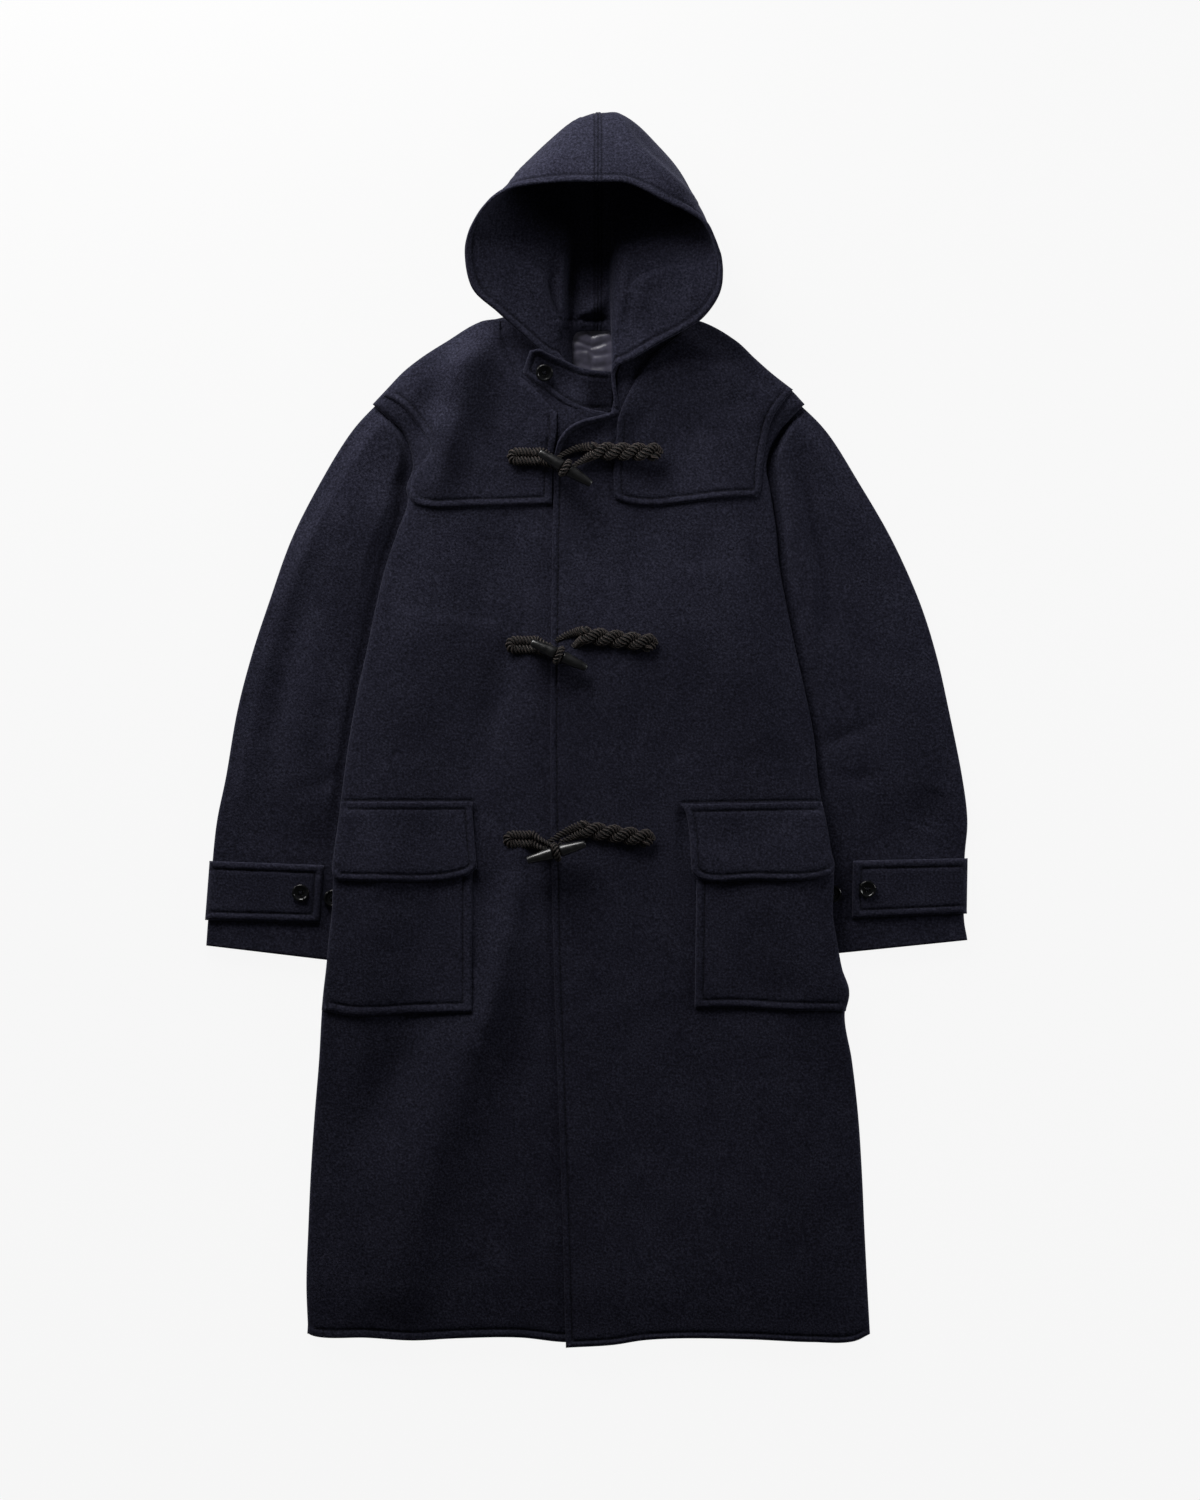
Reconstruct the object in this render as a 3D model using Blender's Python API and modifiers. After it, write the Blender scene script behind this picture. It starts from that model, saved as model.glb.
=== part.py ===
"""A hooded duffle coat lying on its back with its front fastened, for Blender 4.5.

It lies on the floor with its collar towards +Y and its front up. Sizes and tables are in
millimetres and turn into metres where the meshes are made. The body is built up in layers:
the sleeves lie on the floor, the back lies over their inner edges, then come the two fronts,
the yokes, the pockets and flaps, and last the tabs, cords, toggles and buttons.
"""

import math

import bmesh
import bpy
from mathutils import Matrix, Vector
from mathutils.bvhtree import BVHTree

MM = 0.001

# Driving sizes.
CLOTH = 2.4  # heavy melton
TAB_CLOTH = 3.0  # two turned layers pressed flat
LINING = 1.0
GAP = 0.4  # between pieces that lie on each other
SLEEVE_HEIGHT = 7.6  # of the flattened tube, both walls and the slack between them
TAB_LENGTH = 123.0  # of a cuff tab, from the sleeve's outer edge to its free end
CORD = 9.2  # the rope's thickness where it is free
CORD_UNDER = 4.6  # where the toggle presses on it
CORD_WRAP = 6.6  # on top of the toggle's groove
WRAP_TAPER = 0.25  # how much thinner it gets round the groove's sides
LOOP_FLAT = 0.62  # a loop's cord is pressed to this share of its height
TOGGLE_LENGTH = 67.0
TOGGLE_RADIUS = 6.8
GROOVE_RADIUS = 0.56 * TOGGLE_RADIUS
BUTTON_RADIUS = 9.5
BUTTON_HEIGHT = 3.6
SEAM_X = 14.0  # the hood's centre seam
FALL = 28.0  # how far the body's cloth takes to come down off a sleeve's edge
FRONT_COLUMN = -44.0  # a grid line just right of where the upper front's edge lies
UNDERLAP = 29.0  # how far the lower front goes on under the upper one
FRONT_SLACK = 4.6  # air between the back and a front
ON_CUT = 0.2 * MM  # a grid point this near a cut is taken as on it

COLUMNS = ("y", "left", "right", "tuck_left", "tuck_right", "lift")
# Stations down the body: its side edges, how wide a sleeve is tucked under each, and how high
# the side edges ride over it. The button behind the cuff tab lifts them most.
BODY = (
    (449, -115, 128, 22, 22, 0.0),
    (427, -153, 167, 22, 22, 0.0),
    (409, -181, 186, 24, 24, 0.0),
    (392, -202, 205, 26, 26, 3.0),
    (374, -219, 226, 28, 28, 8.2),
    (358, -236, 239, 36, 36, 8.2),
    (343, -217, 226, 29, 31, 8.2),
    (328, -201, 214, 26, 29, 8.2),
    (307, -192, 203, 30, 31, 8.2),
    (287, -190, 199, 41, 40, 8.2),
    (266, -197, 203, 64, 58, 8.2),
    (253, -195, 205, 68, 69, 8.2),
    (220, -206, 210, 64, 59, 8.2),
    (182, -219, 213, 66, 53, 8.2),
    (138, -230, 221, 64, 52, 8.2),
    (94, -239, 230, 60, 53, 8.2),
    (44, -250, 241, 57, 54, 8.2),
    (-6, -259, 251, 55, 56, 8.2),
    (-55, -266, 256, 51, 54, 8.2),
    (-97, -271, 263, 48, 55, 8.2),
    (-132, -276, 270, 47, 57, 8.2),
    (-157, -277, 273, 43, 56, 12.4),
    (-204, -279, 272, 39, 48, 12.4),
    (-229, -282, 276, 39, 47, 8.2),
    (-262, -285, 282, 38, 47, 8.2),
    (-287, -288, 290, 36, 40, 0.0),
    (-312, -290, 285, 36, 36, 0.0),
    (-363, -293, 293, 36, 36, 0.0),
    (-424, -298, 300, 36, 36, 0.0),
    (-484, -302, 304, 36, 36, 0.0),
    (-550, -305, 307, 36, 36, 0.0),
    (-610, -307, 310, 36, 36, 0.0),
    (-682, -310, 313, 36, 36, 0.0),
)
LEFT_CELLS = 5  # between the left fall and the front column
RIGHT_CELLS = 4  # between the underlap and the right fall

FOLD_COLUMNS = ("x_0", "y_0", "x_1", "y_1", "height", "width")
# The largest folds of the fronts: each runs along a line and fades out at its ends.
FOLDS = (
    (-125, 435, -130, 363, 8.0, 28),
    (-130, 363, -177, 253, 7.0, 24),
    (-74, -146, -104, -310, 4.0, 20),
    (-96, -240, -138, -382, 6.0, 30),
    (-138, -382, -204, -570, 9.0, 34),
    (-204, -570, -226, -640, 8.0, 36),
    (-210, 150, -232, -30, 2.4, 30),
    (146, 396, 160, 285, 4.0, 18),
    (60, 210, 50, -60, 2.6, 45),
    (180, 200, 200, -40, 2.6, 36),
    (210, -350, 250, -600, 2.4, 40),
)

# The hood's seam and facings bunch up round the neck and lift the fronts over them.
NECK_LINE = ((-104, 424), (-70, 396), (-34, 368), (20, 352), (62, 374), (104, 414))
NECK_RISE = 11.0
NECK_WIDTH = 66.0

# Outlines in plan.
BACK = ((-330, 460), (330, 460), (330, -664), (-330, -664))
LOWER_FRONT = (
    (-94, 460), (-72, 449), (-45, 440), (-32, 418), (-28, 391), (-21, 365),
    (-1, 354), (UNDERLAP, 348), (UNDERLAP, -671), (-23, -673), (-72, -668), (-146, -669),
    (-189, -671), (-241, -668), (-320, -665), (-330, 460),
)
UPPER_FRONT = (
    (115, 460), (82, 429), (54, 402), (40, 374), (29, 350), (4, 343), (-13, 337), (-19, 330),
    (-31, 314), (-35, 253), (-37, 143), (-38, 55), (-38, -77), (-35, -242), (-30, -391),
    (-25, -539), (-21.5, -680), (30, -676), (64, -671), (100, -669), (180, -670), (250, -673),
    (296, -672), (330, -666), (330, 460),
)
LINING_PATCH = ((-26, 441), (51, 441), (53, 380), (27, 351), (5, 353), (-10, 362), (-17, 385))
YOKE_RIGHT = (
    (-235, 369), (-222, 367), (-202, 356), (-188, 340), (-173, 319), (-169, 304), (-184, 290),
    (-192, 276), (-194, 256), (-188, 248), (-171, 244), (-126, 245), (-85, 246), (-36.6, 248),
    (-36.2, 283), (-34, 308), (-31.5, 324), (-31, 348), (-56, 376), (-75, 393), (-85, 415),
    (-92, 440), (-94, 460), (-235, 460),
)
YOKE_LEFT = (
    (245, 378), (227, 376), (225, 370), (214, 356), (205, 341), (199, 319), (194, 286),
    (192, 262), (188, 256), (148, 254), (104, 249), (71, 246), (38, 251), (32, 255), (31, 297),
    (34, 319), (36, 341), (47, 369), (71, 407), (104, 435), (126, 460), (245, 460),
)
POCKET_RIGHT = ((-124, -97), (-124, -310), (-186, -312), (-256, -314), (-320, -306), (-320, -97))
POCKET_LEFT = (
    (123, -97), (120, -306), (166, -305), (221, -308), (284, -309), (320, -309), (320, -97),
)
FLAP_RIGHT = (
    (-320, -79), (-124, -79), (-124, -89), (-119, -152), (-131, -160), (-241, -166), (-320, -165),
)
FLAP_LEFT = (
    (106, -82), (320, -79), (320, -158), (272, -158), (257, -163), (184, -165), (126, -164),
    (117, -157), (111, -94),
)
FLAP_STEP_Y = -90.0  # above this the flap comes down off the pocket onto the front

SLEEVE_COLUMNS = ("outer_x", "outer_y", "inner_x", "inner_y")
# Rings from the armhole to the cuff. The last three are the cuff tab's edges and the cuff.
SLEEVE_RIGHT = (
    (-222, 366, -137, 254),
    (-257, 328, -147, 237),
    (-291, 273, -157, 209),
    (-323, 210, -169, 165),
    (-347, 143, -184, 116),
    (-367, 82, -200, 61),
    (-383, 20, -214, 2),
    (-395, -50, -227, -61),
    (-405, -99, -235, -106),
    (-410, -144, -244, -150),
    (-415, -209, -252, -213),
    (-417, -237, -257, -256),
)
SLEEVE_LEFT = (
    (226, 367, 148, 253),
    (265, 328, 156, 237),
    (300, 273, 164, 209),
    (337, 209, 174, 165),
    (367, 142, 184, 116),
    (386, 82, 195, 61),
    (400, 20, 205, 2),
    (414, -50, 214, -61),
    (420, -99, 219, -106),
    (417, -141, 226, -145),
    (416, -202, 236, -210),
    (420, -231, 243, -249),
)
TAB_RINGS = (9, 10)  # the rings that the cuff tab lies between
ROUNDING = 3.8  # how far in from a sleeve's edge its walls reach their full distance
ROUNDING_START = 1.1
RING_COLUMNS = ("share", "step", "height")
# Points round a sleeve from its outer edge over the top: share of the width, a further step
# along it, and share of the height.
RING = (
    (0.0, 0.0, 0.50),
    (0.0, ROUNDING_START, 0.87),
    (0.0, ROUNDING, 1.00),
    (0.35, 0.0, 1.00),
    (0.68, 0.0, 1.00),
    (1.0, -ROUNDING, 1.00),
    (1.0, -ROUNDING_START, 0.87),
    (1.0, 0.0, 0.50),
    (1.0, -ROUNDING_START, 0.13),
    (1.0, -ROUNDING, 0.00),
    (0.68, 0.0, 0.00),
    (0.35, 0.0, 0.00),
    (0.0, ROUNDING, 0.00),
    (0.0, ROUNDING_START, 0.13),
)
OUTER_POINT, TOP_POINT, INNER_POINT = 0, 2, 7  # places in the ring
TAB_POINTS = 4  # the cuff tab follows this many of the ring's points

# Ribs of each side of the hood, from the throat up to the crown. Each runs from the front edge
# over the side to the centre seam: rim, slope, fold, floor, seam, as (x, y, height).
HOOD_RIGHT = (
    ((-12, 363, 16), (-14, 380, 14), (-15, 400, 12), (-12, 435, 8), (SEAM_X, 439, 6.5)),
    ((-21, 399, 22), (-26, 409, 20), (-28, 429, 18), (-14, 448, 10), (SEAM_X, 449, 10)),
    ((-47, 414, 31), (-36, 427, 26), (-28, 444, 23), (-13, 464, 12), (SEAM_X, 466, 14)),
    ((-72, 436, 39), (-50, 449, 30), (-27, 468, 24), (-13, 484, 7), (SEAM_X, 486, 7)),
    ((-97, 458, 47), (-63, 473, 34), (-27, 493, 24), (-12, 510, 4), (SEAM_X, 513, 2.5)),
    ((-124, 483, 55), (-74, 504, 39), (-28, 522, 24), (-10, 539, 3), (SEAM_X, 541, 1.2)),
    ((-132, 522, 63), (-91, 534, 44), (-34, 548, 22), (-9, 566, 2), (SEAM_X, 570, 1.2)),
    ((-125, 549, 72), (-107, 559, 50), (-67, 570, 22), (-23, 588, 2.5), (SEAM_X, 594, 1.2)),
    ((-105, 577, 82), (-92, 587, 55), (-70, 605, 22), (-28, 622, 2.5), (SEAM_X, 622, 1.2)),
    ((-81, 590, 89), (-71, 607, 66), (-62, 622, 30), (-30, 640, 3), (SEAM_X, 644, 1.2)),
    ((-49, 595, 93), (-42, 620, 76), (-42, 642, 36), (-19, 656, 4), (SEAM_X, 660, 1.6)),
    ((-15, 597, 95), (-15, 629, 78), (-12, 662, 42), (-2, 672, 10), (SEAM_X, 670, 3)),
)
HOOD_LEFT = (
    ((35, 352, 27), (32, 369, 22), (30, 396, 16), (29, 435, 9), (SEAM_X, 439, 6.5)),
    ((31, 393, 34), (31, 405, 30), (30, 424, 23), (28, 448, 12), (SEAM_X, 449, 10)),
    ((53, 407, 39), (40, 424, 34), (31, 442, 26), (27, 464, 12), (SEAM_X, 466, 14)),
    ((82, 424, 42), (60, 446, 35), (35, 464, 27), (26, 484, 7), (SEAM_X, 486, 7)),
    ((109, 438, 48), (76, 464, 40), (37, 490, 28), (26, 510, 4), (SEAM_X, 513, 2.5)),
    ((130, 452, 54), (91, 486, 44), (40, 517, 28), (27, 539, 3), (SEAM_X, 541, 1.2)),
    ((147, 477, 62), (109, 515, 48), (42, 543, 24), (29, 566, 2), (SEAM_X, 570, 1.2)),
    ((150, 505, 68), (126, 539, 46), (71, 570, 20), (40, 591, 2.5), (SEAM_X, 594, 1.2)),
    ((142, 532, 74), (129, 558, 48), (98, 588, 20), (49, 622, 2.5), (SEAM_X, 622, 1.2)),
    ((128, 555, 81), (119, 576, 58), (105, 605, 26), (56, 638, 3), (SEAM_X, 644, 1.2)),
    ((89, 575, 89), (95, 602, 74), (81, 638, 36), (47, 656, 4), (SEAM_X, 660, 1.6)),
    ((48, 595, 94), (53, 627, 76), (45, 669, 42), (29, 673, 10), (SEAM_X, 670, 3)),
)
CROWN_RIB = (
    (SEAM_X, 597, 95), (SEAM_X, 632, 78), (SEAM_X, 667, 44), (SEAM_X, 678, 16), (SEAM_X, 674, 6),
)
RIB_CELLS = 10

THROAT_TAB_COLUMNS = ("top_x", "top_y", "low_x", "low_y")
THROAT_TAB = (
    (-61, 416, -69, 393),
    (-50, 418, -61, 385),
    (-37, 411, -47, 375),
    (-22, 405, -32, 363),
    (-6, 398, -17, 354),
    (11, 395, 0, 348),
    (24, 394, 20, 347),
)
THROAT_TAB_CELLS = 4
THROAT_TAB_REACH = 14.0  # it clears what lies this near, as stiff cloth does

BUTTONS = (
    # name, x, y, and the piece that it is sewn to
    ("button_throat", -45, 392, "throat_tab"),
    ("button_cuff_right_1", -313, -179, "cuff_tab_right"),
    ("button_cuff_right_2", -278, -185, "sleeve_right"),
    ("button_cuff_left_1", 310, -175, "cuff_tab_left"),
    ("button_cuff_left_2", 272, -180, "sleeve_left"),
)
BUTTON_PROFILE = (
    (0.0, 0.0), (0.62 * BUTTON_RADIUS, 0.0), (BUTTON_RADIUS, 1.4), (BUTTON_RADIUS, 2.6),
    (0.86 * BUTTON_RADIUS, BUTTON_HEIGHT), (0.66 * BUTTON_RADIUS, 2.4), (0.0, 2.1),
)
BUTTON_STEPS = 16

TOGGLE_PROFILE = (
    # share of half the length, share of the radius
    (-1.0, 0.0), (-1.0, 0.30), (-0.975, 0.44), (-0.76, 0.62), (-0.45, 0.85), (-0.19, 1.0),
    (-0.14, 0.94), (-0.10, 0.56), (0.10, 0.56), (0.14, 0.94), (0.19, 1.0), (0.45, 0.85),
    (0.76, 0.62), (0.975, 0.44), (1.0, 0.30), (1.0, 0.0),
)
TOGGLE_STEPS = 14
FASTENING_COLUMNS = (
    "toggle_x", "toggle_y", "angle", "bar_x", "row_upper_y", "row_lower_y", "rows_end_x",
    "loop_x", "loop_y", "twist_end_x", "twist_end_y",
)
# Each fastening: the toggle's middle and angle, the doubled cord that carries it, and where the
# loop's twisted pair opens and where it is sewn down.
FASTENINGS = (
    (-22, 287, -31.7, -80.5, 304.8, 295.2, -47, 7, 306, 75.5, 305),
    (-29, 82, -25.1, -82.5, 98, 88.4, -53, -2, 104, 70, 95.5),
    (-32, -134, 15.8, -85, -115.8, -125.4, -58, -4, -109, 67, -119),
)
CORD_REACH = 30.0  # a fastening clears the cloth's highest place this near
ROW_CELLS = 4
BAR_BEND = 4.0  # how far before the bar each sewn row starts to turn
STEM_COLUMNS = ("way", "climb", "thickness")
# How each strand goes from its sewn row to the toggle: share of the way, share of the climb.
STEM = ((0.3, 0.9, 6.4), (0.65, 1.0, 4.8), (0.95, 1.05, 4.8))
STEM_SPREAD = 4.2  # half the distance between the strands at the toggle
WRAP_SWING = math.radians(150)  # how far round the groove the wrap goes each way
WRAP_CELLS = 8
TWIST_TURNS = 1.5
TWIST_CELLS = 18
TWIST_GAP = 0.4  # between the two twisted strands
BRIDGE_BULGE = 3.0  # how far the loop's upper strand bows out
BIGHT_COLUMNS = ("along", "across")
# The loop's bend under the toggle: steps along the toggle and across it from its middle.
BIGHT = ((-12, 9), (-12, 2), (-8, -3.5), (-2, -5), (4, -3.5), (7, 2), (7, 9))

MELTON = ((0.012, 0.013, 0.022), 0.95, 0.0)
SATIN = ((0.070, 0.065, 0.098), 0.35, 0.0)
ROPE = ((0.020, 0.017, 0.013), 0.85, 0.0)
HORN = ((0.012, 0.013, 0.014), 0.30, 0.0)


def clear_scene():
    for obj in list(bpy.data.objects):
        bpy.data.objects.remove(obj, do_unlink=True)


def material(name, look):
    colour, roughness, metallic = look
    made = bpy.data.materials.new(name)
    made.use_nodes = True
    shader = made.node_tree.nodes["Principled BSDF"]
    shader.inputs["Base Color"].default_value = (*colour, 1.0)
    shader.inputs["Roughness"].default_value = roughness
    shader.inputs["Metallic"].default_value = metallic
    return made


def add_piece(name, data, look, collection, root):
    """A named object with its own material, under the coat's empty."""
    obj = bpy.data.objects.new(name, data)
    data.materials.append(material(name, look))
    collection.objects.link(obj)
    obj.parent = root
    return obj


def mesh_from(name, bm, smooth_angle=math.radians(40)):
    bmesh.ops.recalc_face_normals(bm, faces=bm.faces[:])
    mesh = bpy.data.meshes.new(name)
    bm.to_mesh(mesh)
    bm.free()
    mesh.shade_smooth()
    mesh.set_sharp_from_angle(angle=smooth_angle)
    return mesh


def smooth_line(points, cells):
    """Points along a Catmull-Rom curve through these, with the same number of cells in each stretch."""
    points = [Vector(point) for point in points]
    padded = [2 * points[0] - points[1], *points, 2 * points[-1] - points[-2]]
    per_stretch = cells / (len(points) - 1)
    line = []
    for i in range(cells + 1):
        stretch = min(int(i / per_stretch), len(points) - 2)
        t = i / per_stretch - stretch
        a, b, c, d = padded[stretch : stretch + 4]
        line.append(
            0.5 * (2 * b + (c - a) * t + (2 * a - 5 * b + 4 * c - d) * t**2 + (3 * b - a - 3 * c + d) * t**3)
        )
    return line


def grid_mesh(rows):
    """A bmesh grid through rows of points in millimetres, each row as long as the next."""
    bm = bmesh.new()
    count = len(rows[0])
    bmesh.ops.create_grid(bm, x_segments=count - 1, y_segments=len(rows) - 1, size=1.0)
    order = sorted(bm.verts, key=lambda vert: (round(vert.co.y, 5), round(vert.co.x, 5)))
    for i, vert in enumerate(order):
        vert.co = Vector(rows[i // count][i % count]) * MM
    bm.verts.index_update()
    return bm, order


# ---- The body: one grid in plan that every layer shares, so that they lie flat on each other.


def to_line(x, y, line):
    """The distance from this place to a line through these points."""
    place = Vector((x, y))
    found = []
    for start, end in zip(line, line[1:]):
        start, along = Vector(start), Vector(end) - Vector(start)
        share = min(1.0, max(0.0, (place - start).dot(along) / along.length_squared))
        found.append((place - start - along * share).length)
    return min(found)


def body_stations():
    """The body's rows, each a dict by column name."""
    return [dict(zip(COLUMNS, row)) for row in BODY]


def body_columns(row):
    """The x of each grid line at this row, from the left side edge to the right one."""
    left_down = row["left"] + row["tuck_left"] + FALL
    right_down = row["right"] - row["tuck_right"] - FALL
    left_down = min(left_down, (row["left"] + row["tuck_left"] + FRONT_COLUMN) / 2)
    right_down = max(right_down, (row["right"] - row["tuck_right"] + UNDERLAP) / 2)
    xs = [row["left"], row["left"] + row["tuck_left"] / 2, row["left"] + row["tuck_left"]]
    xs += [left_down + (FRONT_COLUMN - left_down) * i / LEFT_CELLS for i in range(LEFT_CELLS + 1)]
    xs += [(FRONT_COLUMN + UNDERLAP) / 2]
    xs += [UNDERLAP + (right_down - UNDERLAP) * i / RIGHT_CELLS for i in range(RIGHT_CELLS + 1)]
    xs += [row["right"] - row["tuck_right"], row["right"] - row["tuck_right"] / 2, row["right"]]
    return xs


LIFTED = 3  # this many grid lines on each side ride on the sleeve
COLUMN_COUNT = 2 * LIFTED + LEFT_CELLS + 1 + 1 + RIGHT_CELLS + 1
UNDERLAP_COLUMN = LIFTED + LEFT_CELLS + 2


def fold_height(x, y):
    """How far the fronts' folds and the bulk of the neck under them rise at this place."""
    height = NECK_RISE * math.exp(-((to_line(x, y, NECK_LINE) / NECK_WIDTH) ** 2))
    for row in FOLDS:
        fold = dict(zip(FOLD_COLUMNS, row))
        start = Vector((fold["x_0"], fold["y_0"]))
        along = Vector((fold["x_1"], fold["y_1"])) - start
        t = (Vector((x, y)) - start).dot(along) / along.length_squared
        beyond = max(0.0, -t, t - 1.0) * along.length
        across = abs((Vector((x, y)) - start).cross(along)) / along.length
        reach = math.exp(-((across / fold["width"]) ** 2) - (beyond / (1.2 * fold["width"])) ** 2)
        height = max(height, fold["height"] * reach)
    return height


def body_layers():
    """The grid's plan points and, for each, the underside height of the back and of both fronts."""
    plan = []
    heights = {"back": [], "lower": [], "upper": []}
    for row in body_stations():
        for column, x in enumerate(body_columns(row)):
            lifted = column < LIFTED or column >= COLUMN_COUNT - LIFTED
            back = row["lift"] if lifted else 0.0
            front = back + CLOTH + GAP + (0.0 if lifted else fold_height(x, row["y"]) + FRONT_SLACK)
            over = CLOTH + GAP if column <= UNDERLAP_COLUMN else 0.0
            plan.append((x, row["y"]))
            heights["back"].append(back)
            heights["lower"].append(front)
            heights["upper"].append(front + over)
    return plan, heights


def body_sheet(plan, heights):
    """The shared grid as triangles at these heights."""
    rows = [
        [(*plan[i + j], heights[i + j]) for j in range(COLUMN_COUNT)]
        for i in range(0, len(plan), COLUMN_COUNT)
    ]
    bm, _ = grid_mesh(rows)
    bmesh.ops.triangulate(bm, faces=bm.faces[:], quad_method="FIXED")
    return bm


def inside(point, outline):
    """Whether the point is inside the outline, by counting the edges to its right."""
    found = False
    for (x0, y0), (x1, y1) in zip(outline, (*outline[1:], outline[0])):
        if (y0 > point.y) == (y1 > point.y):
            continue
        if point.x < x0 + (x1 - x0) * (point.y - y0) / (y1 - y0):
            found = not found
    return found


def cut_along(bm, start, end):
    """Splits the faces near this stretch of an outline along it."""
    along = end - start
    low = Vector((min(start.x, end.x), min(start.y, end.y)))
    high = Vector((max(start.x, end.x), max(start.y, end.y)))
    near = []
    for face in bm.faces:
        xs = [vert.co.x for vert in face.verts]
        ys = [vert.co.y for vert in face.verts]
        if max(xs) > low.x and min(xs) < high.x and max(ys) > low.y and min(ys) < high.y:
            near.append(face)
    edges = list({edge for face in near for edge in face.edges})
    verts = list({vert for face in near for vert in face.verts})
    place = (start.x, start.y, 0.0)
    across = Vector((-along.y, along.x, 0.0)).normalized()
    bmesh.ops.bisect_plane(bm, geom=near + edges + verts, plane_co=place, plane_no=across, dist=ON_CUT)


def cut_out(bm, outline):
    """Cuts the sheet to the outline, in millimetres, and drops what lies outside it."""
    corners = [Vector((x * MM, y * MM)) for x, y in outline]
    for start, end in zip(corners, corners[1:] + corners[:1]):
        cut_along(bm, start, end)
    flat = [(corner.x, corner.y) for corner in corners]
    outside = [face for face in bm.faces if not inside(face.calc_center_median(), flat)]
    bmesh.ops.delete(bm, geom=outside, context="FACES")
    loose = [vert for vert in bm.verts if not vert.link_faces]
    bmesh.ops.delete(bm, geom=loose, context="VERTS")


def thicken(bm, thickness):
    """Turns the sheet into a closed wall by raising a copy of it straight up."""
    bmesh.ops.triangulate(bm, faces=bm.faces[:])
    raised = bmesh.ops.extrude_face_region(bm, geom=bm.faces[:])["geom"]
    tops = [item for item in raised if isinstance(item, bmesh.types.BMVert)]
    bmesh.ops.translate(bm, verts=tops, vec=(0.0, 0.0, thickness * MM))


def add_panel(coat, name, heights, outline=None, rise=0.0, thickness=CLOTH, look=MELTON):
    """A flat piece on the shared grid: this far above the given heights, cut to the outline."""
    bm = body_sheet(coat["plan"], [height + rise for height in heights])
    if outline:
        cut_out(bm, outline)
    thicken(bm, thickness)
    return add_piece(name, mesh_from(name, bm), look, coat["collection"], coat["root"])


def add_flap(coat, name, heights, outline):
    """A pocket flap: over the pocket, and coming down onto the front along its sewn top."""
    on_front = CLOTH + GAP
    on_pocket = 2 * (CLOTH + GAP)
    bm = body_sheet(coat["plan"], [height + on_pocket for height in heights])
    cut_out(bm, outline)
    step = FLAP_STEP_Y * MM
    everything = bm.faces[:] + bm.edges[:] + bm.verts[:]
    bmesh.ops.bisect_plane(bm, geom=everything, plane_co=(0, step, 0), plane_no=(0, 1, 0), dist=ON_CUT)
    top = max(vert.co.y for vert in bm.verts)
    for vert in bm.verts:
        share = max(0.0, (vert.co.y - step) / (top - step))
        vert.co.z -= share * (on_pocket - on_front) * MM
    thicken(bm, CLOTH)
    add_piece(name, mesh_from(name, bm), MELTON, coat["collection"], coat["root"])


def add_body(coat):
    plan, heights = body_layers()
    coat["plan"] = plan
    lower, upper = heights["lower"], heights["upper"]
    step = CLOTH + GAP
    add_panel(coat, "back_panel", heights["back"], BACK)
    add_panel(coat, "neck_lining", heights["back"], LINING_PATCH, step, LINING, SATIN)
    add_panel(coat, "front_right", lower, LOWER_FRONT)
    add_panel(coat, "front_left", upper, UPPER_FRONT)
    add_panel(coat, "yoke_right", lower, YOKE_RIGHT, step)
    add_panel(coat, "yoke_left", upper, YOKE_LEFT, step)
    add_panel(coat, "pocket_right", lower, POCKET_RIGHT, step)
    add_panel(coat, "pocket_left", upper, POCKET_LEFT, step)
    add_flap(coat, "pocket_flap_right", lower, FLAP_RIGHT)
    add_flap(coat, "pocket_flap_left", upper, FLAP_LEFT)


# ---- The sleeves: flattened tubes through rings, and the bands near their cuffs.

def ring_points(row):
    """The outside of the sleeve at one ring."""
    ring = dict(zip(SLEEVE_COLUMNS, row))
    outer = Vector((ring["outer_x"], ring["outer_y"], 0.0))
    across = Vector((ring["inner_x"], ring["inner_y"], 0.0)) - outer
    width = across.length
    across.normalize()
    points = []
    for share, step, height in RING:
        place = outer + across * (share * width + step)
        points.append(place + Vector((0, 0, height * SLEEVE_HEIGHT)))
    return points


def add_sleeve(coat, name, rings):
    rows = [ring_points(row) for row in rings]
    bm, _ = grid_mesh([[*row, row[0]] for row in rows])
    bmesh.ops.remove_doubles(bm, verts=bm.verts[:], dist=1e-6)
    obj = add_piece(name, mesh_from(name, bm), MELTON, coat["collection"], coat["root"])
    wall = obj.modifiers.new("wall", "SOLIDIFY")
    wall.thickness = CLOTH * MM
    wall.offset = -1.0
    return obj


def add_cuff_tab(coat, name, rings):
    """A band made from the sleeve's own points, moved out, from its outer edge inwards."""
    up = Vector((0, 0, 1))
    rows = []
    for index in TAB_RINGS:
        ring = ring_points(rings[index])
        across = (ring[INNER_POINT] - ring[OUTER_POINT]).normalized()
        end = ring[TOP_POINT] + across * (TAB_LENGTH - ROUNDING)
        points = [*ring[:TAB_POINTS], end]
        ways = [-across, (up - across).normalized(), up, up, up]
        inner = [point + way * GAP for point, way in zip(points, ways)]
        outer = [point + way * (GAP + TAB_CLOTH) for point, way in zip(points, ways)]
        rows.append([*inner, *outer[::-1], inner[0]])
    bm, _ = grid_mesh(rows)
    bmesh.ops.remove_doubles(bm, verts=bm.verts[:], dist=1e-6)
    bmesh.ops.holes_fill(bm, edges=[edge for edge in bm.edges if edge.is_boundary])
    return add_piece(name, mesh_from(name, bm), MELTON, coat["collection"], coat["root"])


# ---- The hood: one bag through ribs, cut in two along its centre seam.


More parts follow.
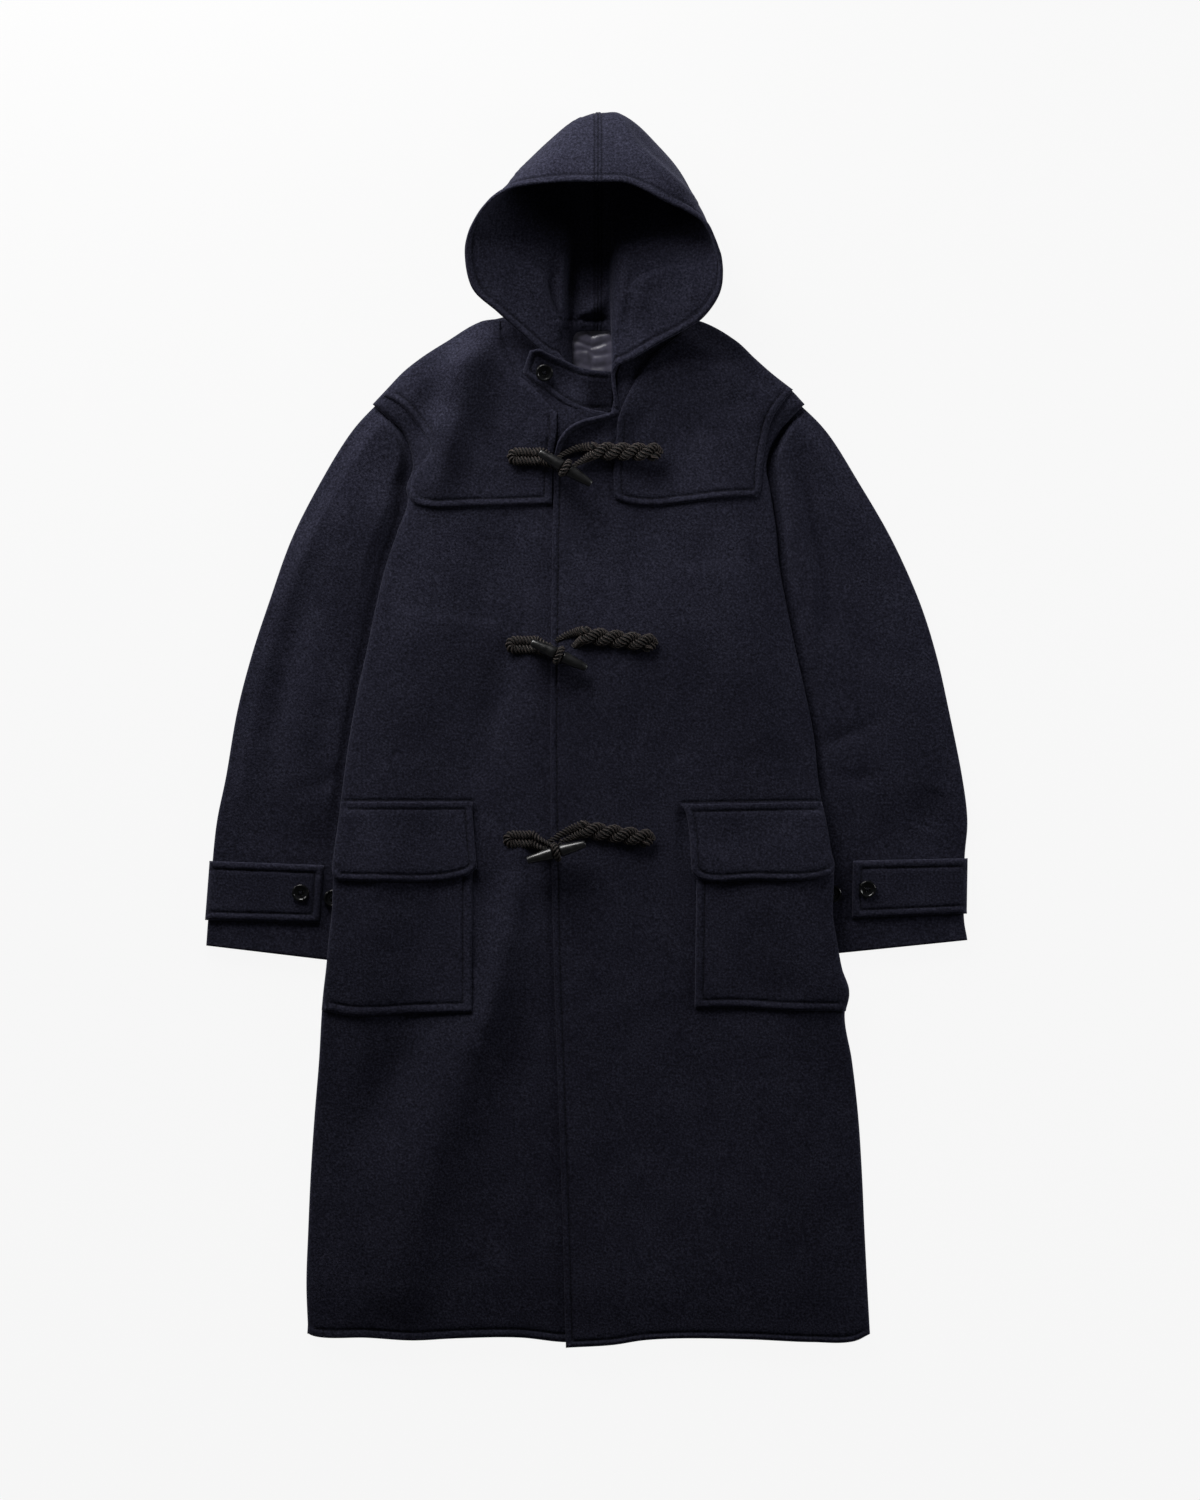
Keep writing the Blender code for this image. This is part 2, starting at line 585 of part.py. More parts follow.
def hood_bag():
    """The middle surface of both sides together, open at its front edge and at the neck."""
    bm = bmesh.new()
    for ribs in (HOOD_RIGHT, HOOD_LEFT):
        rows = []
        for rib in (*ribs, CROWN_RIB):
            line = smooth_line(rib, RIB_CELLS)
            rows.append([Vector((p.x, p.y, max(p.z, CLOTH / 2))) for p in line])
        half, _ = grid_mesh(rows)
        if ribs is HOOD_LEFT:
            bmesh.ops.reverse_faces(half, faces=half.faces[:])
        carrier = bpy.data.meshes.new("half")
        half.to_mesh(carrier)
        half.free()
        bm.from_mesh(carrier)
        bpy.data.meshes.remove(carrier)
    bmesh.ops.remove_doubles(bm, verts=bm.verts[:], dist=1e-6)
    return bm


def add_hood(coat):
    size = 1.0  # of the block that keeps one side of the seam, in metres
    for name, side in (("hood_right", -1), ("hood_left", 1)):
        obj = add_piece(name, mesh_from(name, hood_bag()), MELTON, coat["collection"], coat["root"])
        wall = obj.modifiers.new("wall", "SOLIDIFY")
        wall.thickness = CLOTH * MM
        wall.offset = 0.0
        bm = bmesh.new()
        bmesh.ops.create_cube(bm, size=size)
        place = Vector((SEAM_X * MM + side * (size + GAP * MM) / 2, size / 2, 0.0))
        bmesh.ops.translate(bm, verts=bm.verts[:], vec=place)
        cutter = bpy.data.objects.new(f"{name}_cutter", mesh_from(f"{name}_cutter", bm))
        cutter.hide_render = True
        cutter.display_type = "WIRE"
        coat["cutters"].objects.link(cutter)
        cutter.parent = coat["root"]
        seam = obj.modifiers.new("centre seam", "BOOLEAN")
        seam.operation = "INTERSECT"
        seam.solver = "EXACT"
        seam.object = cutter


# ---- What is laid or sewn on last.


def surface_of(names):
    """A ray-casting tree of these finished pieces."""
    bpy.context.view_layer.update()
    graph = bpy.context.evaluated_depsgraph_get()
    points, faces = [], []
    for name in names:
        evaluated = bpy.data.objects[name].evaluated_get(graph)
        mesh = evaluated.to_mesh()
        start = len(points)
        points += [evaluated.matrix_world @ vert.co for vert in mesh.vertices]
        faces += [[start + i for i in polygon.vertices] for polygon in mesh.polygons]
        evaluated.to_mesh_clear()
    return BVHTree.FromPolygons(points, faces)


def top_height(tree, x, y, reach=0.0):
    """The highest surface in millimetres at this place, or within reach of it."""
    above = 200.0
    rays = 12
    heights = [0.0]
    for ring in (0.0, reach / 2, reach):
        for turn in range(rays):
            angle = turn * math.tau / rays
            place = Vector((x + ring * math.cos(angle), y + ring * math.sin(angle), above))
            hit = tree.ray_cast(place * MM, Vector((0, 0, -1)))[0]
            if hit:
                heights.append(hit.z / MM)
    return max(heights)


def add_throat_tab(coat):
    tree = surface_of(("front_right", "front_left", "yoke_right", "neck_lining", "hood_right"))
    rows = []
    for row in THROAT_TAB:
        tab = dict(zip(THROAT_TAB_COLUMNS, row))
        line = []
        for i in range(THROAT_TAB_CELLS + 1):
            x = tab["top_x"] + (tab["low_x"] - tab["top_x"]) * i / THROAT_TAB_CELLS
            y = tab["top_y"] + (tab["low_y"] - tab["top_y"]) * i / THROAT_TAB_CELLS
            line.append(Vector((x, y, top_height(tree, x, y, THROAT_TAB_REACH) + GAP)))
        rows.append(line)
    bm, _ = grid_mesh(rows)
    thicken(bm, TAB_CLOTH)
    add_piece("throat_tab", mesh_from("throat_tab", bm), MELTON, coat["collection"], coat["root"])


def turned(name, profile, steps, look, coat):
    """A solid of revolution about its own Z from (radius, height) pairs that start and end on the axis."""
    mesh = bpy.data.meshes.new(name)
    bm = bmesh.new()
    points = [bm.verts.new((radius * MM, 0.0, height * MM)) for radius, height in profile]
    for first, second in zip(points, points[1:]):
        bm.edges.new((first, second))
    bm.to_mesh(mesh)
    bm.free()
    obj = add_piece(name, mesh, look, coat["collection"], coat["root"])
    screw = obj.modifiers.new("turn", "SCREW")
    screw.steps = screw.render_steps = steps
    screw.use_merge_vertices = True
    screw.merge_threshold = 1e-5
    screw.use_normal_calculate = True
    screw.use_smooth_shade = True
    return obj


def add_buttons(coat):
    """Each button tilts with what it is sewn to and stands just clear of it."""
    span = 6.0
    spots = 8
    for name, x, y, base in BUTTONS:
        tree = surface_of((base,))
        slope_x = (top_height(tree, x + span, y) - top_height(tree, x - span, y)) / (2 * span)
        slope_y = (top_height(tree, x, y + span) - top_height(tree, x, y - span)) / (2 * span)
        up = Vector((-slope_x, -slope_y, 1.0)).normalized()
        clear = top_height(tree, x, y)
        for turn in range(spots):
            angle = turn * math.tau / spots
            step_x = BUTTON_RADIUS * math.cos(angle)
            step_y = BUTTON_RADIUS * math.sin(angle)
            found = top_height(tree, x + step_x, y + step_y)
            clear = max(clear, found - slope_x * step_x - slope_y * step_y)
        button = turned(name, BUTTON_PROFILE, BUTTON_STEPS, HORN, coat)
        place = Matrix.Translation(Vector((x, y, clear + GAP)) * MM)
        turn = Vector((0, 0, 1)).rotation_difference(up)
        button.matrix_world = place @ turn.to_matrix().to_4x4()


def add_toggle(coat, number, fastening, cloth):
    """The toggle lies on two layers of cord. This returns the place of its middle."""
    half = TOGGLE_LENGTH / 2
    profile = [(radius * TOGGLE_RADIUS, share * half) for share, radius in TOGGLE_PROFILE]
    toggle = turned(f"toggle_{number}", profile, TOGGLE_STEPS, HORN, coat)
    laid = Matrix.Rotation(math.radians(90), 4, "Y")
    turn = Matrix.Rotation(math.radians(fastening["angle"]), 4, "Z")
    height = cloth + 2 * CORD_UNDER + 4 * GAP + TOGGLE_RADIUS
    place = Vector((fastening["toggle_x"], fastening["toggle_y"], height))
    toggle.matrix_world = Matrix.Translation(place * MM) @ turn @ laid
    return place


def cord_curve(coat, name, points):
    """A closed cord along points of (x, y, z, thickness) in millimetres."""
    curve = bpy.data.curves.new(name, "CURVE")
    curve.dimensions = "3D"
    curve.bevel_depth = CORD / 2 * MM
    curve.bevel_resolution = 2
    spline = curve.splines.new("POLY")
    spline.points.add(len(points) - 1)
    for target, (x, y, z, thickness) in zip(spline.points, points):
        target.co = (x * MM, y * MM, z * MM, 1.0)
        target.radius = thickness / CORD
    spline.use_cyclic_u = True
    return add_piece(name, curve, ROPE, coat["collection"], coat["root"])


def between(start, end, share):
    return start + (end - start) * share


def add_toggle_cord(coat, number, fastening, middle, tree):
    """The doubled cord: sewn rows, then both strands go under the toggle and meet over its groove."""
    angle = math.radians(fastening["angle"])
    across = Vector((-math.sin(angle), math.cos(angle), 0.0))
    bar, end = fastening["bar_x"], fastening["rows_end_x"]
    upper, lower = fastening["row_upper_y"], fastening["row_lower_y"]
    cloth = top_height(tree, (bar + end) / 2, (upper + lower) / 2, CORD_REACH) + GAP
    level = cloth + CORD / 2
    groove = GROOVE_RADIUS + GAP + CORD_WRAP / 2
    below = middle.z - TOGGLE_RADIUS - GAP - CORD_UNDER / 2
    near_low = middle - across * STEM_SPREAD
    near_up = middle + across * STEM_SPREAD
    route = []
    for i in range(ROW_CELLS + 1):
        route.append((between(end, bar + BAR_BEND, i / ROW_CELLS), upper, level, CORD))
    route.append((bar, between(upper, lower, 0.25), level, CORD))
    route.append((bar, between(upper, lower, 0.75), level, CORD))
    for i in range(ROW_CELLS + 1):
        route.append((between(bar + BAR_BEND, end, i / ROW_CELLS), lower, level, CORD))
    for way, climb, thickness in STEM:
        x = between(end, near_low.x, way)
        y = between(lower, near_low.y, way)
        route.append((x, y, between(level, below, climb), thickness))
    for i in range(-WRAP_CELLS, WRAP_CELLS + 1):
        swing = WRAP_SWING * i / WRAP_CELLS
        spot = middle + across * (groove * math.sin(swing))
        thickness = CORD_WRAP * (1.0 - WRAP_TAPER * (i / WRAP_CELLS) ** 2)
        route.append((spot.x, spot.y, middle.z + groove * math.cos(swing), thickness))
    for way, climb, thickness in reversed(STEM):
        x = between(end, near_up.x, way)
        y = between(upper, near_up.y, way)
        route.append((x, y, between(level, below, climb), thickness))
    cord_curve(coat, f"toggle_cord_{number}", route)


def twisted_pair(start, run, cloth):
    """Two strands side by side that twist round each other from start along run."""
    side = Vector((-run.y, run.x, 0.0)).normalized()
    radius = (CORD + TWIST_GAP) / 2
    strands = ([], [])
    for i in range(TWIST_CELLS + 1):
        share = i / TWIST_CELLS
        swing = math.pi / 2 + share * TWIST_TURNS * math.tau
        for strand, sign in zip(strands, (1, -1)):
            spot = start + run * share + side * (sign * radius * math.sin(swing))
            height = cloth + radius + CORD / 2 + sign * radius * math.cos(swing)
            strand.append((spot.x, spot.y, height, CORD))
    return strands


def add_loop_cord(coat, number, fastening, middle, tree):
    """One cord folded in half: its two strands twist together, then open and hook under the toggle.

    Its heights are those before it is pressed flat."""
    start = Vector((fastening["twist_end_x"], fastening["twist_end_y"], 0.0))
    mouth = Vector((fastening["loop_x"], fastening["loop_y"], 0.0))
    run = mouth - start
    samples = [between(start.x, mouth.x, i / 6) for i in range(7)]
    cloth = max(top_height(tree, x, start.y, 1.5 * CORD) for x in samples) + GAP
    base = cloth / LOOP_FLAT
    level = base + CORD / 2
    upper, lower = sorted(twisted_pair(start, run, base), key=lambda strand: -strand[-1][1])
    angle = math.radians(fastening["angle"])
    along = Vector((math.cos(angle), math.sin(angle), 0.0))
    across = Vector((-along.y, along.x, 0.0))
    bight_level = (middle.z - TOGGLE_RADIUS - 1.5 * CORD_UNDER - 4 * GAP) / LOOP_FLAT
    bight = []
    for step_along, step_across in BIGHT:
        spot = middle + along * step_along + across * step_across
        bight.append((spot.x, spot.y, bight_level, CORD_UNDER))
    bridge = []
    for share in (0.25, 0.5, 0.75):
        x = between(upper[-1][0], bight[0][0], share)
        y = between(upper[-1][1], bight[0][1], share) + BRIDGE_BULGE * math.sin(math.pi * share)
        height = between(level + 1.0, bight_level, share)
        bridge.append((x, y, height, between(CORD, CORD_UNDER, share)))
    back = []
    for share in (1 / 3, 2 / 3):
        x = between(bight[-1][0], lower[-1][0], share)
        y = between(bight[-1][1], lower[-1][1], share)
        height = between(bight_level, level + 1.0, share)
        back.append((x, y, height, between(CORD_UNDER, CORD, share)))
    close = start - run.normalized() * (CORD + TWIST_GAP) / 2
    turn = (close.x, close.y, level, CORD)
    route = [*upper, *bridge, *bight, *back, *lower[::-1], turn]
    cord = cord_curve(coat, f"loop_cord_{number}", route)
    cord.scale.z = LOOP_FLAT


def add_fastenings(coat):
    fronts = surface_of(("front_right", "front_left", "yoke_right", "yoke_left"))
    lower = surface_of(("front_right", "yoke_right"))
    for number, row in enumerate(FASTENINGS, 1):
        fastening = dict(zip(FASTENING_COLUMNS, row))
        cloth = top_height(fronts, fastening["toggle_x"], fastening["toggle_y"], CORD_REACH)
        middle = add_toggle(coat, number, fastening, cloth)
        add_toggle_cord(coat, number, fastening, middle, lower)
        add_loop_cord(coat, number, fastening, middle, fronts)


def centre_on_origin(coat):
    """Moves the whole coat so that the middle of its box stands on the origin."""
    bpy.context.view_layer.update()
    graph = bpy.context.evaluated_depsgraph_get()
    lows, highs = [], []
    for obj in coat["collection"].objects:
        if obj.type == "EMPTY":
            continue
        evaluated = obj.evaluated_get(graph)
        mesh = evaluated.to_mesh()
        places = [evaluated.matrix_world @ vert.co for vert in mesh.vertices]
        evaluated.to_mesh_clear()
        lows.append([min(place[i] for place in places) for i in range(3)])
        highs.append([max(place[i] for place in places) for i in range(3)])
    low = [min(column) for column in zip(*lows)]
    high = [max(column) for column in zip(*highs)]
    coat["root"].location = (-(low[0] + high[0]) / 2, -(low[1] + high[1]) / 2, -low[2])


def main():
    clear_scene()
    collection = bpy.data.collections.new("duffle coat")
    cutters = bpy.data.collections.new("cutters")
    bpy.context.scene.collection.children.link(collection)
    bpy.context.scene.collection.children.link(cutters)
    cutters.hide_render = True
    root = bpy.data.objects.new("duffle_coat_root", None)
    collection.objects.link(root)
    coat = {"collection": collection, "cutters": cutters, "root": root}
    add_body(coat)
    for side, rings in (("right", SLEEVE_RIGHT), ("left", SLEEVE_LEFT)):
        add_sleeve(coat, f"sleeve_{side}", rings)
        add_cuff_tab(coat, f"cuff_tab_{side}", rings)
    add_hood(coat)
    add_throat_tab(coat)
    add_buttons(coat)
    add_fastenings(coat)
    centre_on_origin(coat)


main()
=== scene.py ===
"""The looks of a hooded duffle coat lying on its back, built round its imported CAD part.

Tables are in millimetres in the coat's own plan; SHIFT moves them into the row frame.
"""

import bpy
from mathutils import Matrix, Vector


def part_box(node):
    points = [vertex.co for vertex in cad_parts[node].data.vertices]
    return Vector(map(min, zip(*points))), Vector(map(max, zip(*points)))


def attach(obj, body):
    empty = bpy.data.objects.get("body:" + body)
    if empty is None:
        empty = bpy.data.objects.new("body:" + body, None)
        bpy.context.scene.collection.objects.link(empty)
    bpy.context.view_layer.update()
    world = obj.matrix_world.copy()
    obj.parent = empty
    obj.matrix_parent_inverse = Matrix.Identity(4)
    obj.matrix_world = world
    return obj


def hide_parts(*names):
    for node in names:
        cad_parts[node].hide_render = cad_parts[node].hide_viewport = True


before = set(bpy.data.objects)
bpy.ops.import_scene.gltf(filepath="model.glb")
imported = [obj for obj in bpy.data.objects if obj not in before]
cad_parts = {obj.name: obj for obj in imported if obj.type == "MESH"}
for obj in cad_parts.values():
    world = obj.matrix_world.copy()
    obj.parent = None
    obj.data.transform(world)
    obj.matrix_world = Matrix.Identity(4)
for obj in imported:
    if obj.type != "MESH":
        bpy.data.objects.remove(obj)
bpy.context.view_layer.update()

import math

import bmesh
import bpy
import numpy as np
from mathutils.geometry import delaunay_2d_cdt

MM = 0.001
SHIFT = np.array([-1.0, 0.4, 0.0])
CLOTH = 2.4
TAB_CLOTH = 3.0
GAP = 0.4
STEP = CLOTH + GAP
SLACK = 1.0  # air between the back and the fronts
FALL = 70.0  # the way that the back takes to come down off a sleeve's inner edge
CORD = 9.2
CORD_UNDER = 4.6
CORD_WRAP = 6.6
LOOP_FLAT = 0.40  # the share of its height that a laid cord keeps
ROW_FLAT = 0.46
TOGGLE_LENGTH = 67.0
TOGGLE_RADIUS = 6.8
SEAM_X = 14.0
SLEEVE_HEIGHT = 7.6


# ---- Camera, floor and light.

VIEW_HEIGHT = 1.65  # metres of floor that the frame takes in from top to bottom
CAMERA_HEIGHT = 10.0
CAMERA_PLACE = (0.0150, -0.0216)
SENSOR = 36.0
FLOOR_SIDE = 6.0
FLOOR_DROP = 0.0005
FLOOR_GLOW = 0.912
WORLD_GLOW = 0.10
LIGHTS = (
    ("key", (-0.52, 1.52, 0.58), (1.0, 0.8), 50.0, (1.0, 0.99, 0.98)),
    ("side", (-1.9, 1.3, 0.62), (0.8, 0.6), 22.0, (1.0, 0.99, 0.98)),
    ("fill", (1.9, 0.5, 0.52), (0.8, 0.5), 22.0, (0.98, 0.99, 1.0)),
)


def linked(name, data):
    obj = bpy.data.objects.new(name, data)
    bpy.context.scene.collection.objects.link(obj)
    return obj


def add_camera():
    data = bpy.data.cameras.new("camera")
    data.sensor_fit = "VERTICAL"
    data.sensor_height = SENSOR
    data.lens = SENSOR * CAMERA_HEIGHT / VIEW_HEIGHT
    data.clip_end = 50.0
    camera = linked("camera", data)
    camera.location = (*CAMERA_PLACE, CAMERA_HEIGHT)
    bpy.context.scene.camera = camera


def add_light(name, place, size, power, colour):
    """A soft light that faces the middle of the floor."""
    data = bpy.data.lights.new(name, "AREA")
    data.shape = "ELLIPSE"
    data.size, data.size_y = size
    data.energy = power
    data.color = colour
    light = linked(name, data)
    light.location = place
    way = np.array(place) / np.linalg.norm(place)
    light.rotation_euler = (math.acos(way[2]), 0.0, math.atan2(way[1], way[0]) + math.pi / 2)


def add_stage():
    mesh = bpy.data.meshes.new("floor")
    corners = [(x * FLOOR_SIDE, y * FLOOR_SIDE, 0) for x, y in ((-1, -1), (1, -1), (1, 1), (-1, 1))]
    mesh.from_pydata(corners, [], [(0, 1, 2, 3)])
    floor = linked("floor", mesh)
    floor.location.z = -FLOOR_DROP
    white = plain("floor_white", (0.004, 0.004, 0.004), 0.9)
    set_values(shader_of(white), Emission_Color=(1, 1, 1, 1), Emission_Strength=FLOOR_GLOW)
    mesh.materials.append(white)
    world = bpy.data.worlds.new("studio")
    world.use_nodes = True
    set_values(world.node_tree.nodes["Background"], Color=(0.97, 0.98, 1.0, 1), Strength=WORLD_GLOW)
    bpy.context.scene.world = world
    for light in LIGHTS:
        add_light(*light)
    bpy.context.scene.view_settings.view_transform = "Standard"


# ---- Materials, each from its own nodes.


def set_values(node, **values):
    """Sets a node's properties, or its inputs with _ for a space."""
    for key, value in values.items():
        if key in node.bl_rna.properties:
            setattr(node, key, value)
        else:
            node.inputs[key.replace("_", " ")].default_value = value


def shader_of(made):
    return made.node_tree.nodes["Principled BSDF"]


def plain(name, colour, roughness):
    made = bpy.data.materials.new(name)
    made.use_nodes = True
    set_values(shader_of(made), Base_Color=(*colour, 1), Roughness=roughness)
    return made


def add_node(tree, kind, links=(), **values):
    """A node with these values, and links from (input, socket) pairs."""
    made = tree.nodes.new(kind)
    set_values(made, **values)
    for socket, source in links:
        tree.links.new(source, made.inputs[socket])
    return made


def parts_of(made):
    """A material's tree, its shader and its object coordinates."""
    tree = made.node_tree
    return tree, shader_of(made), add_node(tree, "ShaderNodeTexCoord").outputs["Object"]


def dress(tree, shader, colour, height, strength, depth):
    """Gives the shader its colour and a bump of this depth in metres."""
    bump = add_node(tree, "ShaderNodeBump", [("Height", height)], Strength=strength, Distance=depth)
    tree.links.new(colour, shader.inputs["Base Color"])
    tree.links.new(bump.outputs["Normal"], shader.inputs["Normal"])


def noise(tree, place, scale, detail=2.0, roughness=0.5):
    return add_node(
        tree, "ShaderNodeTexNoise", [("Vector", place)],
        Scale=scale, Detail=detail, Roughness=roughness,
    ).outputs["Fac"]


def wave(tree, place, **values):
    return add_node(tree, "ShaderNodeTexWave", [("Vector", place)], **values).outputs["Fac"]


def wear_and_shade_of(tree):
    return add_node(tree, "ShaderNodeAttribute", attribute_name="wear_and_shade").outputs["Fac"]


def ramp(tree, source, *stops):
    """Colours, or greys given as one number, at places along the source."""
    made = add_node(tree, "ShaderNodeValToRGB", [("Fac", source)])
    ends = made.color_ramp.elements
    for place, _ in stops[2:]:
        ends.new(place)
    for element, (place, colour) in zip(ends, stops):
        element.position = place
        element.color = (*(colour if isinstance(colour, tuple) else (colour,) * 3), 1)
    return made.outputs["Color"]


def times(tree, first, second):
    """Two colours multiplied."""
    made = add_node(tree, "ShaderNodeMix", data_type="RGBA", blend_type="MULTIPLY")
    made.inputs[0].default_value = 1.0
    tree.links.new(first, made.inputs[6])
    tree.links.new(second, made.inputs[7])
    return made.outputs[2]


def blend_heights(tree, first, second, share):
    """Two heights added, the first with this share."""
    parts = []
    for source, part in ((first, share), (second, 1 - share)):
        made = add_node(tree, "ShaderNodeMath", [(0, source)], operation="MULTIPLY")
        made.inputs[1].default_value = part
        parts.append(made.outputs[0])
    return add_node(tree, "ShaderNodeMath", list(enumerate(parts)), operation="ADD").outputs[0]


def melton():
    """Heavy milled wool: a matted nap, clumps a couple of millimetres across, paler worn edges, and painted shade
    in its stitch grooves and seams.
    """
    made = plain("melton", (0.012, 0.013, 0.022), 0.93)
    tree, shader, place = parts_of(made)
    clumps = noise(tree, place, 420.0, 3.0, 0.62)
    fibres = noise(tree, place, 1500.0, 3.0, 0.7)
    patches = noise(tree, place, 26.0, 2.0)
    nap = ((0.30, (0.0033, 0.0034, 0.0060)), (0.52, (0.0108, 0.0110, 0.0190)), (0.72, (0.0225, 0.0229, 0.0372)))
    tone = ramp(tree, patches, (0.30, (0.84, 0.84, 0.86)), (0.70, (1.12, 1.12, 1.10)))
    # The point attribute makes the cloth paler at worn edges and cuffs, and darker with painted shade in stitch
    # grooves and seams.
    wear_and_shade_tone = ramp(tree, wear_and_shade_of(tree), (0.0, (0.45, 0.45, 0.47)), (0.5, 1.0), (1.0, (1.55, 1.52, 1.45)))
    colour = times(tree, times(tree, ramp(tree, clumps, *nap), tone), wear_and_shade_tone)
    set_values(shader, Specular_IOR_Level=0.05, Sheen_Weight=0.05, Sheen_Roughness=0.42)
    set_values(shader, Sheen_Tint=(0.60, 0.62, 0.90, 1))
    dress(tree, shader, colour, blend_heights(tree, clumps, fibres, 0.75), 0.75, 0.0011)
    return made


def satin():
    """Lining satin: fine warp threads across a soft shine."""
    made = plain("satin", (0.085, 0.078, 0.112), 0.36)
    tree, shader, place = parts_of(made)
    threads = wave(tree, place, Scale=600.0, Distortion=1.5, Detail=1.0, bands_direction="X")
    patches = noise(tree, place, 90.0, 2.0)
    colour = ramp(tree, patches, (0.30, (0.024, 0.023, 0.038)), (0.70, (0.050, 0.047, 0.076)))
    set_values(shader, Sheen_Weight=0.3)
    dress(tree, shader, colour, threads, 0.2, 0.0003)
    return made


def rope():
    """Twisted cord: dark strands of fine yarn, with painted shade between the strands and a painted highlight on
    their crowns.
    """
    made = plain("rope", (0.02, 0.017, 0.013), 0.6)
    tree, shader, place = parts_of(made)
    uv = add_node(tree, "ShaderNodeTexCoord").outputs["UV"]
    yarns = wave(tree, uv, Scale=3.0, Distortion=1.2, Detail=2.0, Detail_Scale=4.0, bands_direction="DIAGONAL")
    flecks = noise(tree, place, 700.0, 3.0, 0.7)
    colour = ramp(tree, flecks, (0.35, (0.0028, 0.0022, 0.0021)), (0.70, (0.027, 0.0208, 0.0188)))
    bright = ramp(tree, yarns, (0.35, (0.45, 0.45, 0.46)), (0.85, (1.6, 1.55, 1.5)))
    # Painted shade in the gaps between the strands and a painted highlight on their crowns.
    painted_strand_shade = ramp(tree, wear_and_shade_of(tree), (0.55, 0.01), (0.82, (0.16, 0.15, 0.15)), (0.97, 1.9))
    colour = times(tree, times(tree, colour, bright), painted_strand_shade)
    set_values(shader, Specular_IOR_Level=0.15, Sheen_Weight=0.03)
    dress(tree, shader, colour, yarns, 0.6, 0.0006)
    return made


def horn(name, roughness, shine):
    """Dark horn with faint streaks and small scratches."""
    made = plain(name, (0.012, 0.013, 0.014), roughness)
    tree, shader, place = parts_of(made)
    streaks = noise(tree, place, 160.0, 4.0, 0.6)
    colour = ramp(tree, streaks, (0.35, (0.0014, 0.0015, 0.0017)), (0.70, (0.0050, 0.0053, 0.0058)))
    rough = ramp(tree, streaks, (0.3, roughness * 0.8), (0.75, roughness * 1.35))
    tree.links.new(rough, shader.inputs["Roughness"])
    set_values(shader, Specular_IOR_Level=shine)
    dress(tree, shader, colour, streaks, 0.12, 0.0004)
    return made


def thread():
    """Sewing thread in the cloth's colour."""
    made = plain("thread", (0.016, 0.017, 0.028), 0.7)
    tree, shader, place = parts_of(made)
    twist = noise(tree, place, 1400.0, 1.0)
    colour = ramp(tree, twist, (0.3, (0.0025, 0.0026, 0.0042)), (0.7, (0.0080, 0.0084, 0.0130)))
    tree.links.new(colour, shader.inputs["Base Color"])
    set_values(shader, Specular_IOR_Level=0.08)
    return made


# ---- Lines and distances.

SHARP = 38.0  # degrees; an outline turns through its gentler corners in a curve
BATCH = 1500
WAVES = 7
WAVES_SUM = 4.5


def unit(vectors):
    return vectors / np.maximum(np.linalg.norm(vectors, axis=-1, keepdims=True), 1e-9)


def smooth(points, cells=None, closed=False, places=None):
    """Points along a Catmull-Rom curve through these, with this many cells in all, or at these places."""
    points = np.asarray(points, float)
    if closed:
        padded, stretches = np.concatenate([points[-1:], points, points[:2]]), len(points)
    else:
        ends = (2 * points[:1] - points[1:2], 2 * points[-1:] - points[-2:-1])
        padded, stretches = np.concatenate([ends[0], points, ends[1]]), len(points) - 1
    places = np.linspace(0, stretches, cells + 1) if places is None else places
    if closed:
        places = places[:-1]
    at = np.minimum(places.astype(int), stretches - 1)
    t = (places - at).reshape(-1, *([1] * (points.ndim - 1)))
    a, b, c, d = padded[at], padded[at + 1], padded[at + 2], padded[at + 3]
    return 0.5 * (2 * b + (c - a) * t + (2 * a - 5 * b + 4 * c - d) * t**2 + (3 * b - a - 3 * c + d) * t**3)


def even(line, step, closed=False):
    """The line again with points this far apart."""
    line = np.asarray(line, float)
    if closed:
        line = np.concatenate([line, line[:1]])
    along = np.concatenate([[0], np.cumsum(np.linalg.norm(np.diff(line[:, :3], axis=0), axis=1))])
    count = max(2, round(along[-1] / step))
    at = np.linspace(0, along[-1], count + 1)
    if closed:
        at = at[:-1]
    return np.stack([np.interp(at, along, column) for column in line.T], axis=1)


def smooth_step(t):
    t = np.clip(t, 0, 1)
    return t * t * (3 - 2 * t)


def outline(rows, step=3.0):
    """Close points along a closed outline, rounded through its gentle corners, and each one's kind."""
    corners = np.array([row[:2] for row in rows], float)
    ahead = unit(np.roll(corners, -1, 0) - corners)
    behind = unit(corners - np.roll(corners, 1, 0))
    sharp = (ahead * behind).sum(1) < math.cos(math.radians(SHARP))
    middle = unit(ahead + behind)
    points, kinds = [], []
    for i, row in enumerate(rows):
        j = (i + 1) % len(rows)
        start, end = corners[i], corners[j]
        length = np.linalg.norm(end - start)
        out = (ahead[i] if sharp[i] else middle[i]) * length
        into = (behind[j] if sharp[j] else middle[j]) * length
        count = max(1, round(length / step))
        t = (np.arange(count) / count)[:, None]
        line = (2 * t**3 - 3 * t**2 + 1) * start + (t**3 - 2 * t**2 + t) * out
        line += (3 * t**2 - 2 * t**3) * end + (t**3 - t**2) * into
        points.append(line)
        kinds += [row[2]] * count
    return np.concatenate(points), np.array(kinds)


def distance(places, starts, ends):
    """How far each place is from the nearest of these straight pieces, and which one that is."""
    best = np.full(len(places), 1e9)
    which = np.zeros(len(places), int)
    along = ends - starts
    square = np.maximum((along**2).sum(1), 1e-9)
    for low in range(0, len(places), BATCH):
        part = places[low : low + BATCH, None, :] - starts[None]
        t = np.clip((part * along).sum(2) / square, 0, 1)
        off = np.linalg.norm(part - t[..., None] * along, axis=2)
        which[low : low + BATCH] = off.argmin(1)
        best[low : low + BATCH] = off.min(1)
    return best, which


